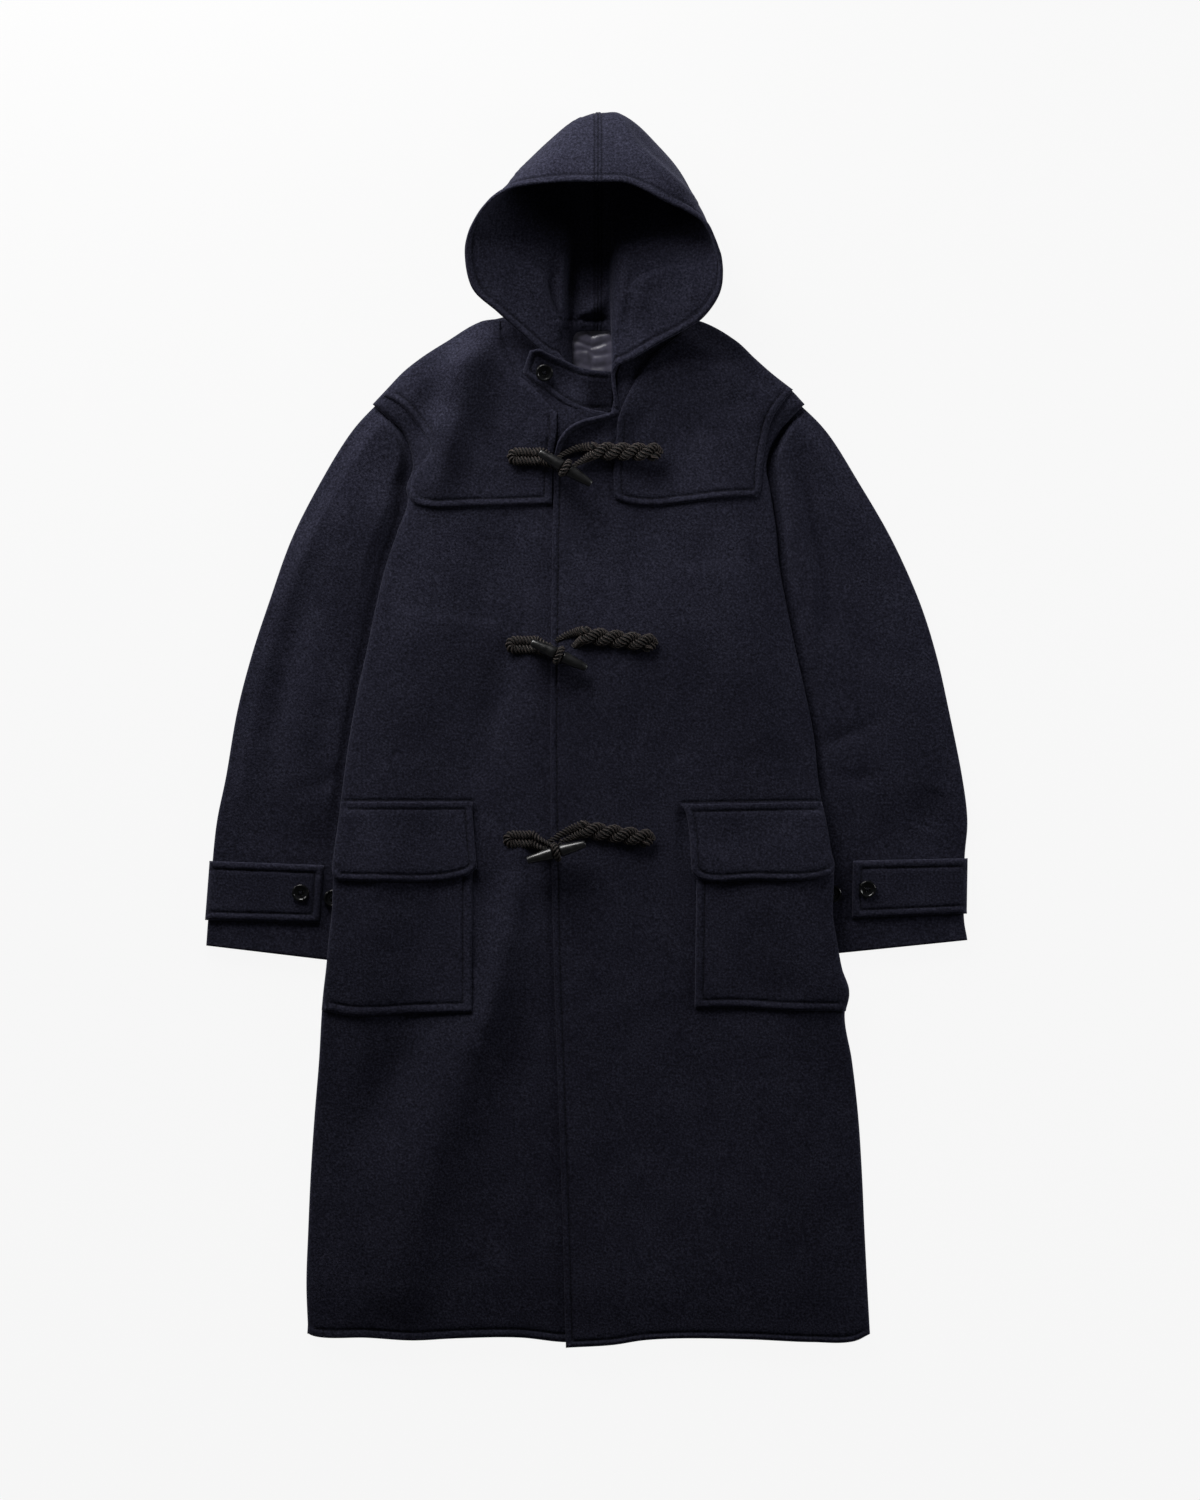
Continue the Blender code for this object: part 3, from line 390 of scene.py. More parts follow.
def inside(places, line):
    """Whether each place lies inside the closed line."""
    found = np.zeros(len(places), bool)
    x, y = places[:, 0], places[:, 1]
    for (x0, y0), (x1, y1) in zip(line, np.roll(line, -1, 0)):
        if y0 == y1:
            continue
        found ^= ((y0 > y) != (y1 > y)) & (x < x0 + (x1 - x0) * (y - y0) / (y1 - y0))
    return found


def ripple(x, y, size, seed):
    """A smooth unevenness between -1 and 1 with features about this size, the same each time."""
    random = np.random.default_rng(seed)
    total = np.zeros_like(np.asarray(x, float))
    for _ in range(WAVES):
        angle, phase = random.uniform(0, math.tau, 2)
        rate = random.uniform(0.6, 1.5) / size
        total = total + np.sin((x * math.cos(angle) + y * math.sin(angle)) * rate * math.pi + phase)
    return total / WAVES_SUM


# ---- The body's heights in plan: what lies on what, and the folds.

BODY_COLUMNS = ("y", "left", "right", "tuck_left", "tuck_right", "lift")
BODY = np.array((
    (449, -115, 128, 22, 22, 0.0),
    (427, -153, 167, 22, 22, 0.0),
    (409, -181, 186, 24, 24, 0.0),
    (392, -202, 205, 26, 26, 3.0),
    (374, -219, 226, 28, 28, 8.2),
    (358, -234, 241, 36, 36, 8.2),
    (343, -217, 226, 29, 31, 8.2),
    (328, -201, 214, 26, 29, 8.2),
    (307, -192, 203, 30, 31, 8.2),
    (287, -190, 199, 41, 40, 8.2),
    (266, -197, 203, 64, 58, 8.2),
    (253, -195, 205, 68, 69, 8.2),
    (220, -206, 210, 64, 59, 8.2),
    (182, -219, 213, 66, 53, 8.2),
    (138, -230, 221, 64, 52, 8.2),
    (94, -239, 230, 60, 53, 8.2),
    (44, -250, 241, 57, 54, 8.2),
    (-6, -259, 251, 55, 56, 8.2),
    (-55, -266, 256, 51, 54, 8.2),
    (-97, -271, 263, 48, 55, 9.5),
    (-132, -276, 270, 47, 57, 12.0),
    (-157, -277, 273, 43, 56, 12.4),
    (-204, -279, 272, 39, 48, 12.4),
    (-229, -282, 276, 39, 47, 11.6),
    (-262, -285, 282, 38, 47, 10.2),
    (-287, -288, 290, 36, 40, 8.6),
    (-312, -290, 285, 36, 36, 6.8),
    (-363, -293, 293, 36, 36, 3.2),
    (-424, -298, 300, 36, 36, 0.6),
    (-484, -302, 304, 36, 36, 0.0),
    (-550, -305, 307, 36, 36, 0.0),
    (-610, -307, 310, 36, 36, 0.0),
    (-664, -310, 313, 36, 36, 0.0),
), float)
UNDERLAP = 29.0
SIDE_SPREAD = (-9, -4, 0, 4, 9)  # the distances over which the table's columns are smoothed
LIFT_SPREAD = (-24, -12, 0, 12, 24)


def station(y, column):
    """A column of the body's table at this y, smoothed over a couple of centimetres."""
    values = BODY[::-1, BODY_COLUMNS.index(column)]
    heights = BODY[::-1, 0]
    spread = SIDE_SPREAD if column in ("left", "right") else LIFT_SPREAD
    return sum(np.interp(y + off, heights, values) for off in spread) / len(spread)


def lift(x, y):
    """How high the back's underside rides: up over the sleeves' inner edges at both sides."""
    left = (station(y, "left") + station(y, "tuck_left") + FALL - x) / FALL
    right = (x - station(y, "right") + station(y, "tuck_right") + FALL) / FALL
    return station(y, "lift") * smooth_step(np.maximum(left, right))


# Soft folds: height (below nought for a trough), the half-width on the left and on the right of the line
# as it runs, and the line.
FOLDS = (
    (15.0, 21, 34, ((-124, 442), (-130, 425), (-134, 400), (-138, 363), (-150, 319), (-163, 286), (-180, 253))),
    (-4.0, 22, 16, ((-96, 420), (-104, 380), (-112, 330), (-118, 290))),
    (-8.0, 13, 18, ((-160, 398), (-168, 374), (-174, 348), (-182, 318), (-192, 292))),
    (4.0, 34, 20, ((-6, 356), (-20, 330), (-40, 318), (-70, 330))),
    (-2.6, 22, 22, ((80, 392), (84, 360), (88, 330), (92, 300))),
    (5.0, 18, 24, ((150, 410), (152, 386), (150, 356), (146, 326))),
    (-3.0, 12, 12, ((75, 367), (64, 345), (53, 328), (48, 300))),
    (-5.0, 18, 22, ((-76, 110), (-92, 60), (-106, 10), (-118, -40), (-128, -80))),
    (4.0, 45, 30, ((-210, 150), (-222, 60), (-232, -30))),
    (8.5, 14, 16, ((-72, -140), (-82, -200), (-92, -262), (-104, -310), (-118, -345))),
    (12.0, 34, 46, (
        (-96, -240), (-112, -320), (-138, -382), (-170, -470), (-193, -550), (-206, -616), (-212, -676),
    )),
    (-3.0, 20, 20, ((-76, -300), (-92, -380), (-112, -440))),
    (-5.0, 26, 26, ((-196, -330), (-216, -380), (-238, -430), (-258, -480))),
    (3.0, 40, 40, ((-40, -60), (-52, -240), (-50, -420), (-40, -600))),
    (10.0, 80, 130, ((-40, 112), (20, 106), (90, 106), (150, 112), (210, 124))),
    (-3.0, 40, 40, ((120, 180), (128, 60), (120, -60))),
    (4.0, 40, 40, ((180, 200), (186, 80), (200, -40))),
    (-3.4, 50, 50, ((90, -280), (110, -400), (90, -520))),
    (3.0, 50, 50, ((210, -350), (236, -460), (250, -600))),
    (-2.6, 26, 26, ((30, -260), (34, -400), (36, -560))),
)


def fold_field(x, y, rows):
    """The height of these folds at places in plan."""
    places = np.stack([np.ravel(x), np.ravel(y)], axis=1)
    total = np.zeros(len(places))
    for height, left, right, line in rows:
        curve = even(smooth(line, 6 * len(line)), 8.0)
        reach = 2.6 * max(left, right)
        near = ((places > curve.min(0) - reach) & (places < curve.max(0) + reach)).all(1)
        if not near.any():
            continue
        off, which = distance(places[near], curve[:-1], curve[1:])
        share = (which + 0.5) / (len(curve) - 1)
        way, aside = (curve[1:] - curve[:-1])[which], places[near] - curve[:-1][which]
        turn = way[:, 0] * aside[:, 1] - way[:, 1] * aside[:, 0]
        blend = smooth_step(0.5 + turn / np.maximum(np.linalg.norm(way, axis=1), 1e-6) / 3.0)
        width = right + (left - right) * blend
        total[near] += height * np.sin(math.pi * np.clip(share, 0.04, 0.96)) ** 0.55 * np.exp(-((off / width) ** 2))
    return total.reshape(np.shape(x))


LOOSE = 4.8  # how far the front's cloth rises off the back's, away from the body's edges
FOLDS_FULL = 1.15
NECK_LINE = np.array(((-104, 424), (-70, 396), (-34, 368), (20, 352), (62, 374), (104, 414)), float)
NECK_RISE = 12.0
NECK_WIDTH = 54.0
HEM_END = -668
NECK_END = 460
EDGE_FADE = 60


def neck(x, y):
    """How far the bulk of the neck lifts the fronts."""
    places = np.stack([np.ravel(x), np.ravel(y)], axis=1)
    off, _ = distance(places, NECK_LINE[:-1], NECK_LINE[1:])
    return (NECK_RISE * np.exp(-((off / NECK_WIDTH) ** 2))).reshape(np.shape(x))


def mouth(x, y):
    """How far the cloth sinks under a flap's top, so that the pocket's mouth lies in it."""
    down = smooth_step((-83 - y) / 11) * (1 - smooth_step((-108 - y) / 48))
    return STEP * down * smooth_step((np.abs(x + 8) - 104) / 12)


def folds(x, y):
    """The body's folds and a slight unevenness, dying out towards its edges."""
    side = np.minimum(x - station(y, "left"), station(y, "right") - x)
    end = np.minimum(y - HEM_END, NECK_END - y)
    share = smooth_step((side + 6) / EDGE_FADE) * (0.55 + 0.45 * smooth_step(end / EDGE_FADE))
    uneven = 0.7 * ripple(x, y, 95.0, 3) + 0.25 * ripple(x, y, 30.0, 5)
    risen = LOOSE + neck(x, y) + FOLDS_FULL * fold_field(x, y, FOLDS) + uneven - mouth(x, y)
    return share * np.maximum(risen, -0.5)


def back_top(x, y):
    return lift(x, y) + CLOTH


def lower_top(x, y):
    """The top of the front that lies under."""
    return back_top(x, y) + GAP + CLOTH + SLACK + folds(x, y)


LAP_FALL = 34
NECK_CORNER = (
    (4.6, 3.0, 6.0, ((-36, 296), (-31, 313), (-21, 328), (-11, 335), (2, 340), (17, 343), (34, 349))),
    (-3.4, 9.0, 9.0, ((-18, 312), (-6, 322), (10, 327), (28, 330))),
)


def upper_top(x, y):
    """The top of the front that lies over: it comes down where the other one ends."""
    own = STEP * (1 - smooth_step((x - UNDERLAP - 2) / LAP_FALL))
    return lower_top(x, y) + own + np.maximum(fold_field(x, y, NECK_CORNER), 0.3 - own)


# ---- Meshes.

# The point attribute's middle value: below it is painted shade in grooves and seams, above it the cloth is paler
# with wear.
WEAR_AND_SHADE_FLAT = 0.5


def add_mesh(name, points, faces, materials, wear_and_shade=None, uv=None, slots=None):
    """A smooth-shaded mesh object from points in the tables' millimetres."""
    mesh = bpy.data.meshes.new(name)
    mesh.from_pydata(((np.asarray(points) + SHIFT) * MM).tolist(), [], [list(map(int, f)) for f in faces])
    for made in materials:
        mesh.materials.append(made)
    if wear_and_shade is not None:
        # This point attribute holds paler wear and painted shade for the cloth, and painted shade between the
        # strands for the ropes.
        layer = mesh.attributes.new("wear_and_shade", "FLOAT", "POINT")
        layer.data.foreach_set("value", np.asarray(wear_and_shade, np.float32))
    if uv is not None:
        layer = mesh.uv_layers.new(name="UVMap")
        corners = np.zeros(len(mesh.loops), np.int32)
        mesh.loops.foreach_get("vertex_index", corners)
        layer.data.foreach_set("uv", np.asarray(uv, np.float32)[corners].ravel())
    if slots is not None:
        mesh.polygons.foreach_set("material_index", np.asarray(slots, np.int32))
    mesh.update()
    mesh.shade_smooth()
    return linked(name, mesh)


def grid_faces(rows, columns, start=0, around=True, closed=False):
    """Faces over points laid out row by row: around joins a row's ends, closed the last row to the first."""
    faces = []
    for i in range(rows if closed else rows - 1):
        here, there = start + i * columns, start + (i + 1) % rows * columns
        for j in range(columns if around else columns - 1):
            k = (j + 1) % columns
            faces.append((here + j, here + k, there + k, there + j))
    return faces


def merge(obj, within):
    """Joins points that lie this near each other, in millimetres."""
    bm = bmesh.new()
    bm.from_mesh(obj.data)
    bmesh.ops.remove_doubles(bm, verts=bm.verts[:], dist=within * MM)
    bmesh.ops.recalc_face_normals(bm, faces=bm.faces[:])
    bm.to_mesh(obj.data)
    bm.free()


def place_piece(obj, node):
    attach(obj, "root")
    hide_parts(node)


STITCH_PITCH = 4.4
STITCH_LENGTH = 2.9
STITCH_WIDTH = 0.42
STITCH_RINGS = ((-0.5, 0.15, -0.5), (-0.28, 1.0, 0.2), (0.28, 1.0, 0.2), (0.5, 0.15, -0.5))
STITCH_SIDES = 5


def stitch_mesh(line, heights):
    """Short threads along a line of plan points, lying in the cloth at these heights."""
    spots = even(np.column_stack([line, heights]), STITCH_PITCH)
    if len(spots) < 3:
        return np.zeros((0, 3)), []
    way = unit(np.gradient(spots, axis=0))
    side = unit(np.cross(way, (0, 0, 1)))
    up = np.cross(side, way)
    turns = np.arange(STITCH_SIDES) * math.tau / STITCH_SIDES
    points, faces = [], []
    for middle, along, across, above in zip(spots, way, side, up):
        faces += grid_faces(len(STITCH_RINGS), STITCH_SIDES, len(points))
        for share, wide, rise in STITCH_RINGS:
            centre = middle + along * (share * STITCH_LENGTH) + above * rise * 0.4
            for angle in turns:
                off = across * math.cos(angle) + above * math.sin(angle)
                points.append(centre + off * (STITCH_WIDTH * wide))
    return np.array(points), faces


def runs_of(keep):
    """The stretches of a ring of flags that are set, as lists of indices."""
    count = len(keep)
    if keep.all():
        return [list(range(count)) + [0]]
    if not keep.any():
        return []
    start = int(np.argmin(keep))
    runs, now = [], []
    for step in range(1, count + 1):
        i = (start + step) % count
        if keep[i]:
            now.append(i)
        elif now:
            runs.append(now)
            now = []
    if now:
        runs.append(now)
    return [run for run in runs if len(run) > 2]


ROLLS = {"s": 1.0, "e": 0.4, "f": 2.6, "h": 1.0, "w": 3.0}  # an edge's rounding, in thicknesses
RIM_DEPTHS = (0.25, 0.8, 1.7, 3.0)
WRAP_DEPTHS = (5.0, 7.0, 9.0)
SEAM_SIDES = (-3.0, -1.2, -0.4, 0.4, 1.2, 3.0)
GROOVE_WIDTH = 1.25


def panel_plan(line, kinds, normal, inset, spacing, seams):
    """Points and triangles inside an outline, closer together along its edge and its stitching."""
    starts, ends = line, np.roll(line, -1, 0)
    stitched = np.isin(kinds, ("s", "e"))
    depths, reach = set(RIM_DEPTHS), RIM_DEPTHS[-1]
    if stitched.any():
        reach = inset + 3.2
        depths |= {0.55 * inset, inset - 1.3, inset - 0.4, inset + 0.4, inset + 1.3, reach}
    if (kinds == "w").any():
        depths |= set(WRAP_DEPTHS)
    points = [line]
    for depth in sorted(depths):
        moved = line + normal * depth
        off, _ = distance(moved, starts, ends)
        wanted = np.ones(len(line), bool) if depth < 3.1 else stitched | (kinds == "w")
        points.append(moved[(off > 0.96 * depth) & wanted])
    low, high = line.min(0), line.max(0)
    xs = np.arange(low[0], high[0] + spacing, spacing)
    ys = np.arange(low[1], high[1] + spacing, spacing * 0.866)
    grid_x, grid_y = np.meshgrid(xs, ys)
    grid_x[::2] += spacing / 2
    grid = np.stack([grid_x.ravel(), grid_y.ravel()], axis=1)
    grid = grid[inside(grid, line)]
    off, which = distance(grid, starts, ends)
    points.append(grid[off > np.where(stitched[which], reach, RIM_DEPTHS[-1]) + 0.45 * spacing])
    for path in seams:
        way = unit(np.gradient(path, axis=0))
        across = np.stack([-way[:, 1], way[:, 0]], axis=1)
        for step in SEAM_SIDES:
            moved = path + across * step
            points.append(moved[inside(moved, line) & (distance(moved, starts, ends)[0] > 1.0)])
    count = len(line)
    loop = [(i, (i + 1) % count) for i in range(count)]
    spots = [tuple(p) for p in np.concatenate(points)]
    found = delaunay_2d_cdt(spots, loop, [list(range(count))], 1, 1e-4)
    plan = np.array([tuple(p) for p in found[0]])
    faces = np.array([f for f in found[2] if len(f) == 3])
    a, b, c = (plan[faces[:, i]] for i in range(3))
    turned = np.cross(b - a, c - a) < 0
    faces[turned] = faces[turned][:, ::-1]
    return plan, faces


def panel_relief(plan, line, kinds, inset, seams, puff, groove):
    """How far stitching lifts and sinks a panel's top, and how much paler wear and painted shade in its grooves
    that gives it.
    """
    relief = np.zeros(len(plan))
    wear_and_shade = np.full(len(plan), WEAR_AND_SHADE_FLAT)
    stitched = np.isin(kinds, ("s", "e"))
    if stitched.any():
        away, nearest = distance(plan, line[stitched], np.roll(line, -1, 0)[stitched])
        strength = np.where(kinds[stitched][nearest] == "e", 0.35, 1.0)
        uneven = 1 + 0.35 * ripple(plan[:, 0], plan[:, 1], 9.0, 11)
        band = np.sin(math.pi * np.clip(away / inset, 0, 1))
        sunk = np.exp(-(((away - inset) / GROOVE_WIDTH) ** 2))
        beyond = 0.25 * np.exp(-(((away - inset - 4.5) / 2.5) ** 2))
        relief += puff * strength * band * uneven - groove * sunk * uneven + beyond * strength
        # Paler wear over the stitched band, painted shade in the stitch groove.
        wear_and_shade += 0.04 * band * strength - 0.34 * sunk
    for path in seams:
        away, _ = distance(plan, path[:-1], path[1:])
        sunk = np.exp(-((away / GROOVE_WIDTH) ** 2))
        relief -= groove * sunk
        # Painted shade in the seam's groove.
        wear_and_shade -= 0.42 * sunk
    return relief, wear_and_shade


def drop(off, radius):
    """How far a rounding of this radius lies below the flat, this far in from its edge."""
    return radius * (1 - np.sqrt(1 - (1 - np.clip(off / np.maximum(radius, 1e-6), 0, 1)) ** 2))


def panel(name, rows, top, thickness=CLOTH, inset=8.0, spacing=4.5, puff=0.8, groove=0.9, extra=(), detail=1.0):
    """A flat piece cut to an outline: a closed shell with rolled edges and a sunk topstitch.

    rows are (x, y, kind): s stitched, e stitched and pressed flat, f folded, h hidden, w wrapped round an edge.
    extra holds further stitch lines in plan.
    """
    line, kinds = outline(rows, 3.0 / detail)
    area = 0.5 * np.sum(line[:, 0] * np.roll(line[:, 1], -1) - np.roll(line[:, 0], -1) * line[:, 1])
    if area < 0:
        line, kinds = line[::-1], np.roll(kinds[::-1], -1)
    tangent = unit(np.roll(line, -1, 0) - np.roll(line, 1, 0))
    normal = np.stack([-tangent[:, 1], tangent[:, 0]], axis=1)
    starts, ends = line, np.roll(line, -1, 0)
    seams = [even(smooth(seam, 8 * len(seam)), 3.0) for seam in extra]
    plan, faces = panel_plan(line, kinds, normal, inset, spacing, seams)
    off, which = distance(plan, starts, ends)
    relief, wear_and_shade = panel_relief(plan, line, kinds, inset, seams, puff, groove)
    wear_and_shade += 0.05 * np.exp(-((off / 1.4) ** 2)) * (kinds[which] == "s")
    roll = np.array([ROLLS[kind] for kind in kinds[which]]) * thickness
    base = top(plan[:, 0], plan[:, 1])
    high_z = base - drop(off, roll) + relief * np.clip(off / 1.5, 0, 1)
    low_z = base - thickness - drop(off - thickness, np.maximum(roll - thickness, 0))
    low_z = np.minimum(low_z, high_z - 0.05)
    boundary = off < 1e-3
    high_z[boundary] = (base - roll)[boundary]
    inner_ids = np.flatnonzero(~boundary)
    below = np.arange(len(plan))
    below[inner_ids] = len(plan) + np.arange(len(inner_ids))
    points = [np.column_stack([plan, high_z]), np.column_stack([plan[inner_ids], low_z[inner_ids]])]
    total = len(plan) + len(inner_ids)
    wear_and_shade_parts = [wear_and_shade, np.full(len(inner_ids), WEAR_AND_SHADE_FLAT)]
    all_faces = faces.tolist() + below[faces][:, ::-1].tolist()
    slots = [0] * len(all_faces)
    stitched = np.isin(kinds, ("s", "e"))
    if stitched.any():
        moved = line + normal * inset
        clear = distance(moved, starts, ends)[0] > 0.97 * inset
        seams = [moved[run] for run in runs_of(stitched & clear)] + seams
    for path in seams:
        made, quads = stitch_mesh(path, top(path[:, 0], path[:, 1]) - groove + 0.05)
        if not len(made):
            continue
        points.append(made)
        wear_and_shade_parts.append(np.full(len(made), WEAR_AND_SHADE_FLAT))
        all_faces += [[i + total for i in quad] for quad in quads]
        slots += [1] * len(quads)
        total += len(made)
    obj = add_mesh(name, np.concatenate(points), all_faces, [MELTON, THREAD], np.concatenate(wear_and_shade_parts), slots=slots)
    return obj, abs(area) * MM * MM, (line.max(0) - line.min(0)) * MM


def cloth_piece(name, rows, top, rests_on, slot_name="melton", **more):
    """A panel put in this node's place, with the node hidden."""
    obj, area, (width, length) = panel(f"{name}_cloth", rows, top, **more)
    place_piece(obj, name)
    return obj


# ---- Outlines of the body's pieces: x, y and the kind of edge that starts there.


def edge(kind, *points):
    """Rows of an outline whose edges are all of this kind."""
    return [(x, y, kind) for x, y in points]


LEFT_SIDE = [(row[1], row[0], "f") for row in BODY]
RIGHT_SIDE = [(row[2], row[0], "f") for row in BODY]
LOWER_FRONT = (
    *edge("h", (-94, 452), (-72, 449), (-45, 440), (-32, 418), (-28, 391), (-21, 365), (-1, 354),
        (UNDERLAP, 348)),
    *edge("s", (UNDERLAP, -671), (-23, -673), (-72, -668)),
    *edge("e", (-146, -669), (-189, -671), (-241, -668), (-296, -667)), *edge("f", (-305, -664)),
    *reversed(LEFT_SIDE[:-1]),
)
UPPER_FRONT = (
    *edge("h", (113, 452), (78, 436), (46, 414), (34, 394), (33, 372)),
    *edge("s", (28, 349), (17, 345.5), (2, 342), (-11, 337), (-21, 330)),
    *edge("e", (-31, 314), (-35, 253), (-37, 143), (-38, 55), (-38, -77), (-35, -242), (-30, -391),
        (-25, -539)),
    *edge("s", (-21.5, -679), (30, -676), (64, -671), (100, -669), (180, -670), (250, -673), (296, -672)),
    *reversed(RIGHT_SIDE),
)
BACK_INSET = 4.0  # the front's folded side goes round the back's edge
BACK = (
    *((row[1] + BACK_INSET, row[0], "h") for row in BODY),
    *((row[2] - BACK_INSET, row[0], "h") for row in reversed(BODY)),
)
LINING_PATCH = (
    *edge("h", (-24, 441), (31, 441), (31, 384), (29, 351), (5, 353), (-10, 362), (-17, 385)),
)
YOKE_RIGHT = (
    *edge("s", (-222, 368), (-202, 356), (-188, 340)),
    *edge("f", (-175, 321), (-171, 306), (-183, 291), (-191, 276)),
    *edge("s", (-194, 258), (-188, 248), (-171, 244), (-126, 245), (-85, 246)),
    *edge("e", (-36.6, 248), (-36.2, 283), (-34, 308), (-31.5, 324)),
    *edge("f", (-31, 348), (-56, 376), (-75, 393), (-85, 415)), *edge("h", (-92, 440), (-94, 452)),
    *edge("f", (-115, 449), (-153, 427), (-181, 409), (-202, 392), (-217, 375)),
)
YOKE_LEFT = (
    *edge("s", (228, 374), (225, 370), (214, 356), (205, 341), (199, 319), (194, 286), (192, 262), (188, 256),
        (148, 254), (104, 249), (71, 246), (38, 251)),
    *edge("e", (32, 255), (31, 297), (34, 319)),
    *edge("h", (36, 341), (47, 369), (71, 407), (104, 435), (122, 450)),
    *edge("f", (128, 449), (167, 427), (186, 409), (205, 392)),
)
POCKET_RIGHT = (
    *edge("s", (-124, -100), (-124, -310), (-186, -312), (-256, -314)),
    *edge("f", (-290, -308), (-288, -287), (-285, -262), (-282, -229), (-279, -204), (-277, -157),
        (-276, -132)),
    *edge("h", (-271, -100)),
)
POCKET_LEFT = (
    *edge("h", (123, -100)),
    *edge("f", (263, -100), (270, -132), (273, -157), (272, -204), (276, -229), (282, -262), (290, -289)),
    *edge("s", (286, -309), (221, -308), (166, -305), (120, -306)),
)
FLAP_RIGHT = (
    *edge("e", (-269, -79)),
    *edge("s", (-124, -79), (-124, -89), (-119, -152), (-131, -160), (-241, -166), (-275, -165)),
    *edge("f", (-278, -157), (-276, -132), (-271, -97)),
)
FLAP_LEFT = (
    *edge("e", (106, -82)), *edge("f", (260, -79), (264, -97), (270, -132)),
    *edge("s", (274, -152), (272, -158), (257, -163), (184, -165), (126, -164), (117, -157), (111, -94)),
)
FLAP_STEP_Y = -90.0
LINING_CREASES = (
    (-1.2, 3.0, 3.0, ((7, 442), (6, 425), (7, 400), (5, 380))),
    (-1.6, 2.6, 2.6, ((-20, 438), (0, 440), (8, 434), (30, 441))),
    (-1.8, 2.4, 2.4, ((-24, 428), (-6, 427), (6, 421), (30, 429))),
    (-1.2, 2.6, 2.6, ((-20, 416), (2, 418), (10, 412), (32, 416))),
    (-1.0, 3.0, 3.0, ((-10, 404), (8, 399), (30, 402))),
)
LINING_LEVEL = 5.8
LINING_DIP = 2.2


def lining_top(x, y):
    """Satin puckered into creases, a little lower under the throat tab."""
    under_tab = LINING_DIP * smooth_step((394 - y) / 8)
    return LINING_LEVEL - under_tab + fold_field(x, y, LINING_CREASES) + 0.35 * ripple(x, y, 8.0, 21)


def over(cloth):
    """One thickness of cloth on top of this one."""
    return lambda x, y: cloth(x, y) + STEP


def flap_top(cloth):
    """The pocket's flap: over the pocket, coming down onto the front along its sewn top."""
    def top(x, y):
        share = smooth_step((y - FLAP_STEP_Y + 5) / 12)
        stand = 0.9 * smooth_step((FLAP_STEP_Y - y) / 60)
        return cloth(x, y) + 2 * STEP - (STEP + 0.2) * share + stand
    return top


SEWN_RIGHT = ((-268, -77), (-196, -77), (-125, -77))  # the fronts' stitches over the pockets' flaps
SEWN_LEFT = ((107, -79.5), (180, -78), (259, -77))


def add_body():
    cloth_piece("back_panel", BACK, back_top, ["sleeve_right", "sleeve_left"], spacing=14.0)
    right, left = ["back_panel"], ["front_right", "back_panel"]
    cloth_piece("front_right", LOWER_FRONT, lower_top, right, inset=9.0, spacing=5.5, extra=(SEWN_RIGHT,))
    cloth_piece("front_left", UPPER_FRONT, upper_top, left, inset=6.8, spacing=5.5, extra=(SEWN_LEFT,))
    for name, rows, top, rests_on, inset in (
        ("yoke_right", YOKE_RIGHT, over(lower_top), "front_right", 8.5),
        ("yoke_left", YOKE_LEFT, over(upper_top), "front_left", 8.0),
        ("pocket_right", POCKET_RIGHT, over(lower_top), "front_right", 10.5),
        ("pocket_left", POCKET_LEFT, over(upper_top), "front_left", 9.0),
        ("pocket_flap_right", FLAP_RIGHT, flap_top(lower_top), "pocket_right", 8.0),
        ("pocket_flap_left", FLAP_LEFT, flap_top(upper_top), "pocket_left", 8.0),
    ):
        cloth_piece(name, rows, top, [rests_on], inset=inset)
    fine = {"thickness": 1.0, "spacing": 1.6, "detail": 1.6}
    lining = cloth_piece("neck_lining", LINING_PATCH, lining_top, ["back_panel"], "satin", **fine)
    lining.data.materials[0] = SATIN


# ---- Sleeves.

SLEEVE_RIGHT = (
    (-222, 366, -137, 254),
    (-257, 328, -147, 237),
    (-291, 273, -157, 209),
    (-323, 210, -169, 165),
    (-347, 143, -184, 116),
    (-367, 82, -200, 61),
    (-383, 20, -214, 2),
    (-395, -50, -227, -61),
    (-405, -99, -235, -106),
    (-410, -144, -244, -150),
    (-415, -209, -252, -213),
    (-417, -237, -257, -256),
)
SLEEVE_LEFT = (
    (226, 367, 148, 253),
    (265, 328, 156, 237),
    (300, 273, 164, 209),
    (337, 209, 174, 165),
    (367, 142, 184, 116),
    (386, 82, 195, 61),
    (400, 20, 205, 2),
    (414, -50, 214, -61),
    (420, -99, 219, -106),
    (417, -141, 226, -145),
    (416, -202, 236, -210),
    (420, -231, 243, -249),
)
SLEEVE_FOLDS_RIGHT = (
    (2.4, 16, 16, ((-236, 330), (-256, 270), (-266, 200), (-268, 120), (-282, 40))),
    (-5.6, 18, 18, ((-292, 210), (-314, 143), (-333, 55), (-347, -22), (-344, -110))),
    (4.0, 18, 18, ((-282, 140), (-300, 55), (-312, -30), (-310, -100))),
    (2.0, 14, 14, ((-346, 110), (-368, 10), (-384, -70))),
    (-1.6, 9, 9, ((-262, -40), (-290, -60), (-318, -66))),
)
SLEEVE_FOLDS_LEFT = (
    (5.6, 7, 12, ((216, 326), (222, 290), (225, 264), (233, 224), (240, 193), (248, 158), (251, 116), (252, 76))),
    (-5.0, 10, 6, ((238, 300), (243, 256), (251, 210), (260, 166), (264, 110))),
    (2.4, 24, 18, ((272, 320), (288, 260), (298, 190), (304, 120))),
    (-2.4, 8, 8, ((261, -15), (290, -6), (314, 8))),
    (-1.8, 8, 8, ((280, -50), (300, -54), (322, -48))),
    (2.4, 26, 26, ((340, 120), (356, 40), (364, -40))),
    (-4.0, 20, 20, ((388, -60), (378, -92), (370, -116))),
    (2.0, 22, 22, ((310, 90), (322, 0), (330, -100))),
)
SLEEVE_RISE = 4.2  # how much higher a sleeve's cloth stands away from the body
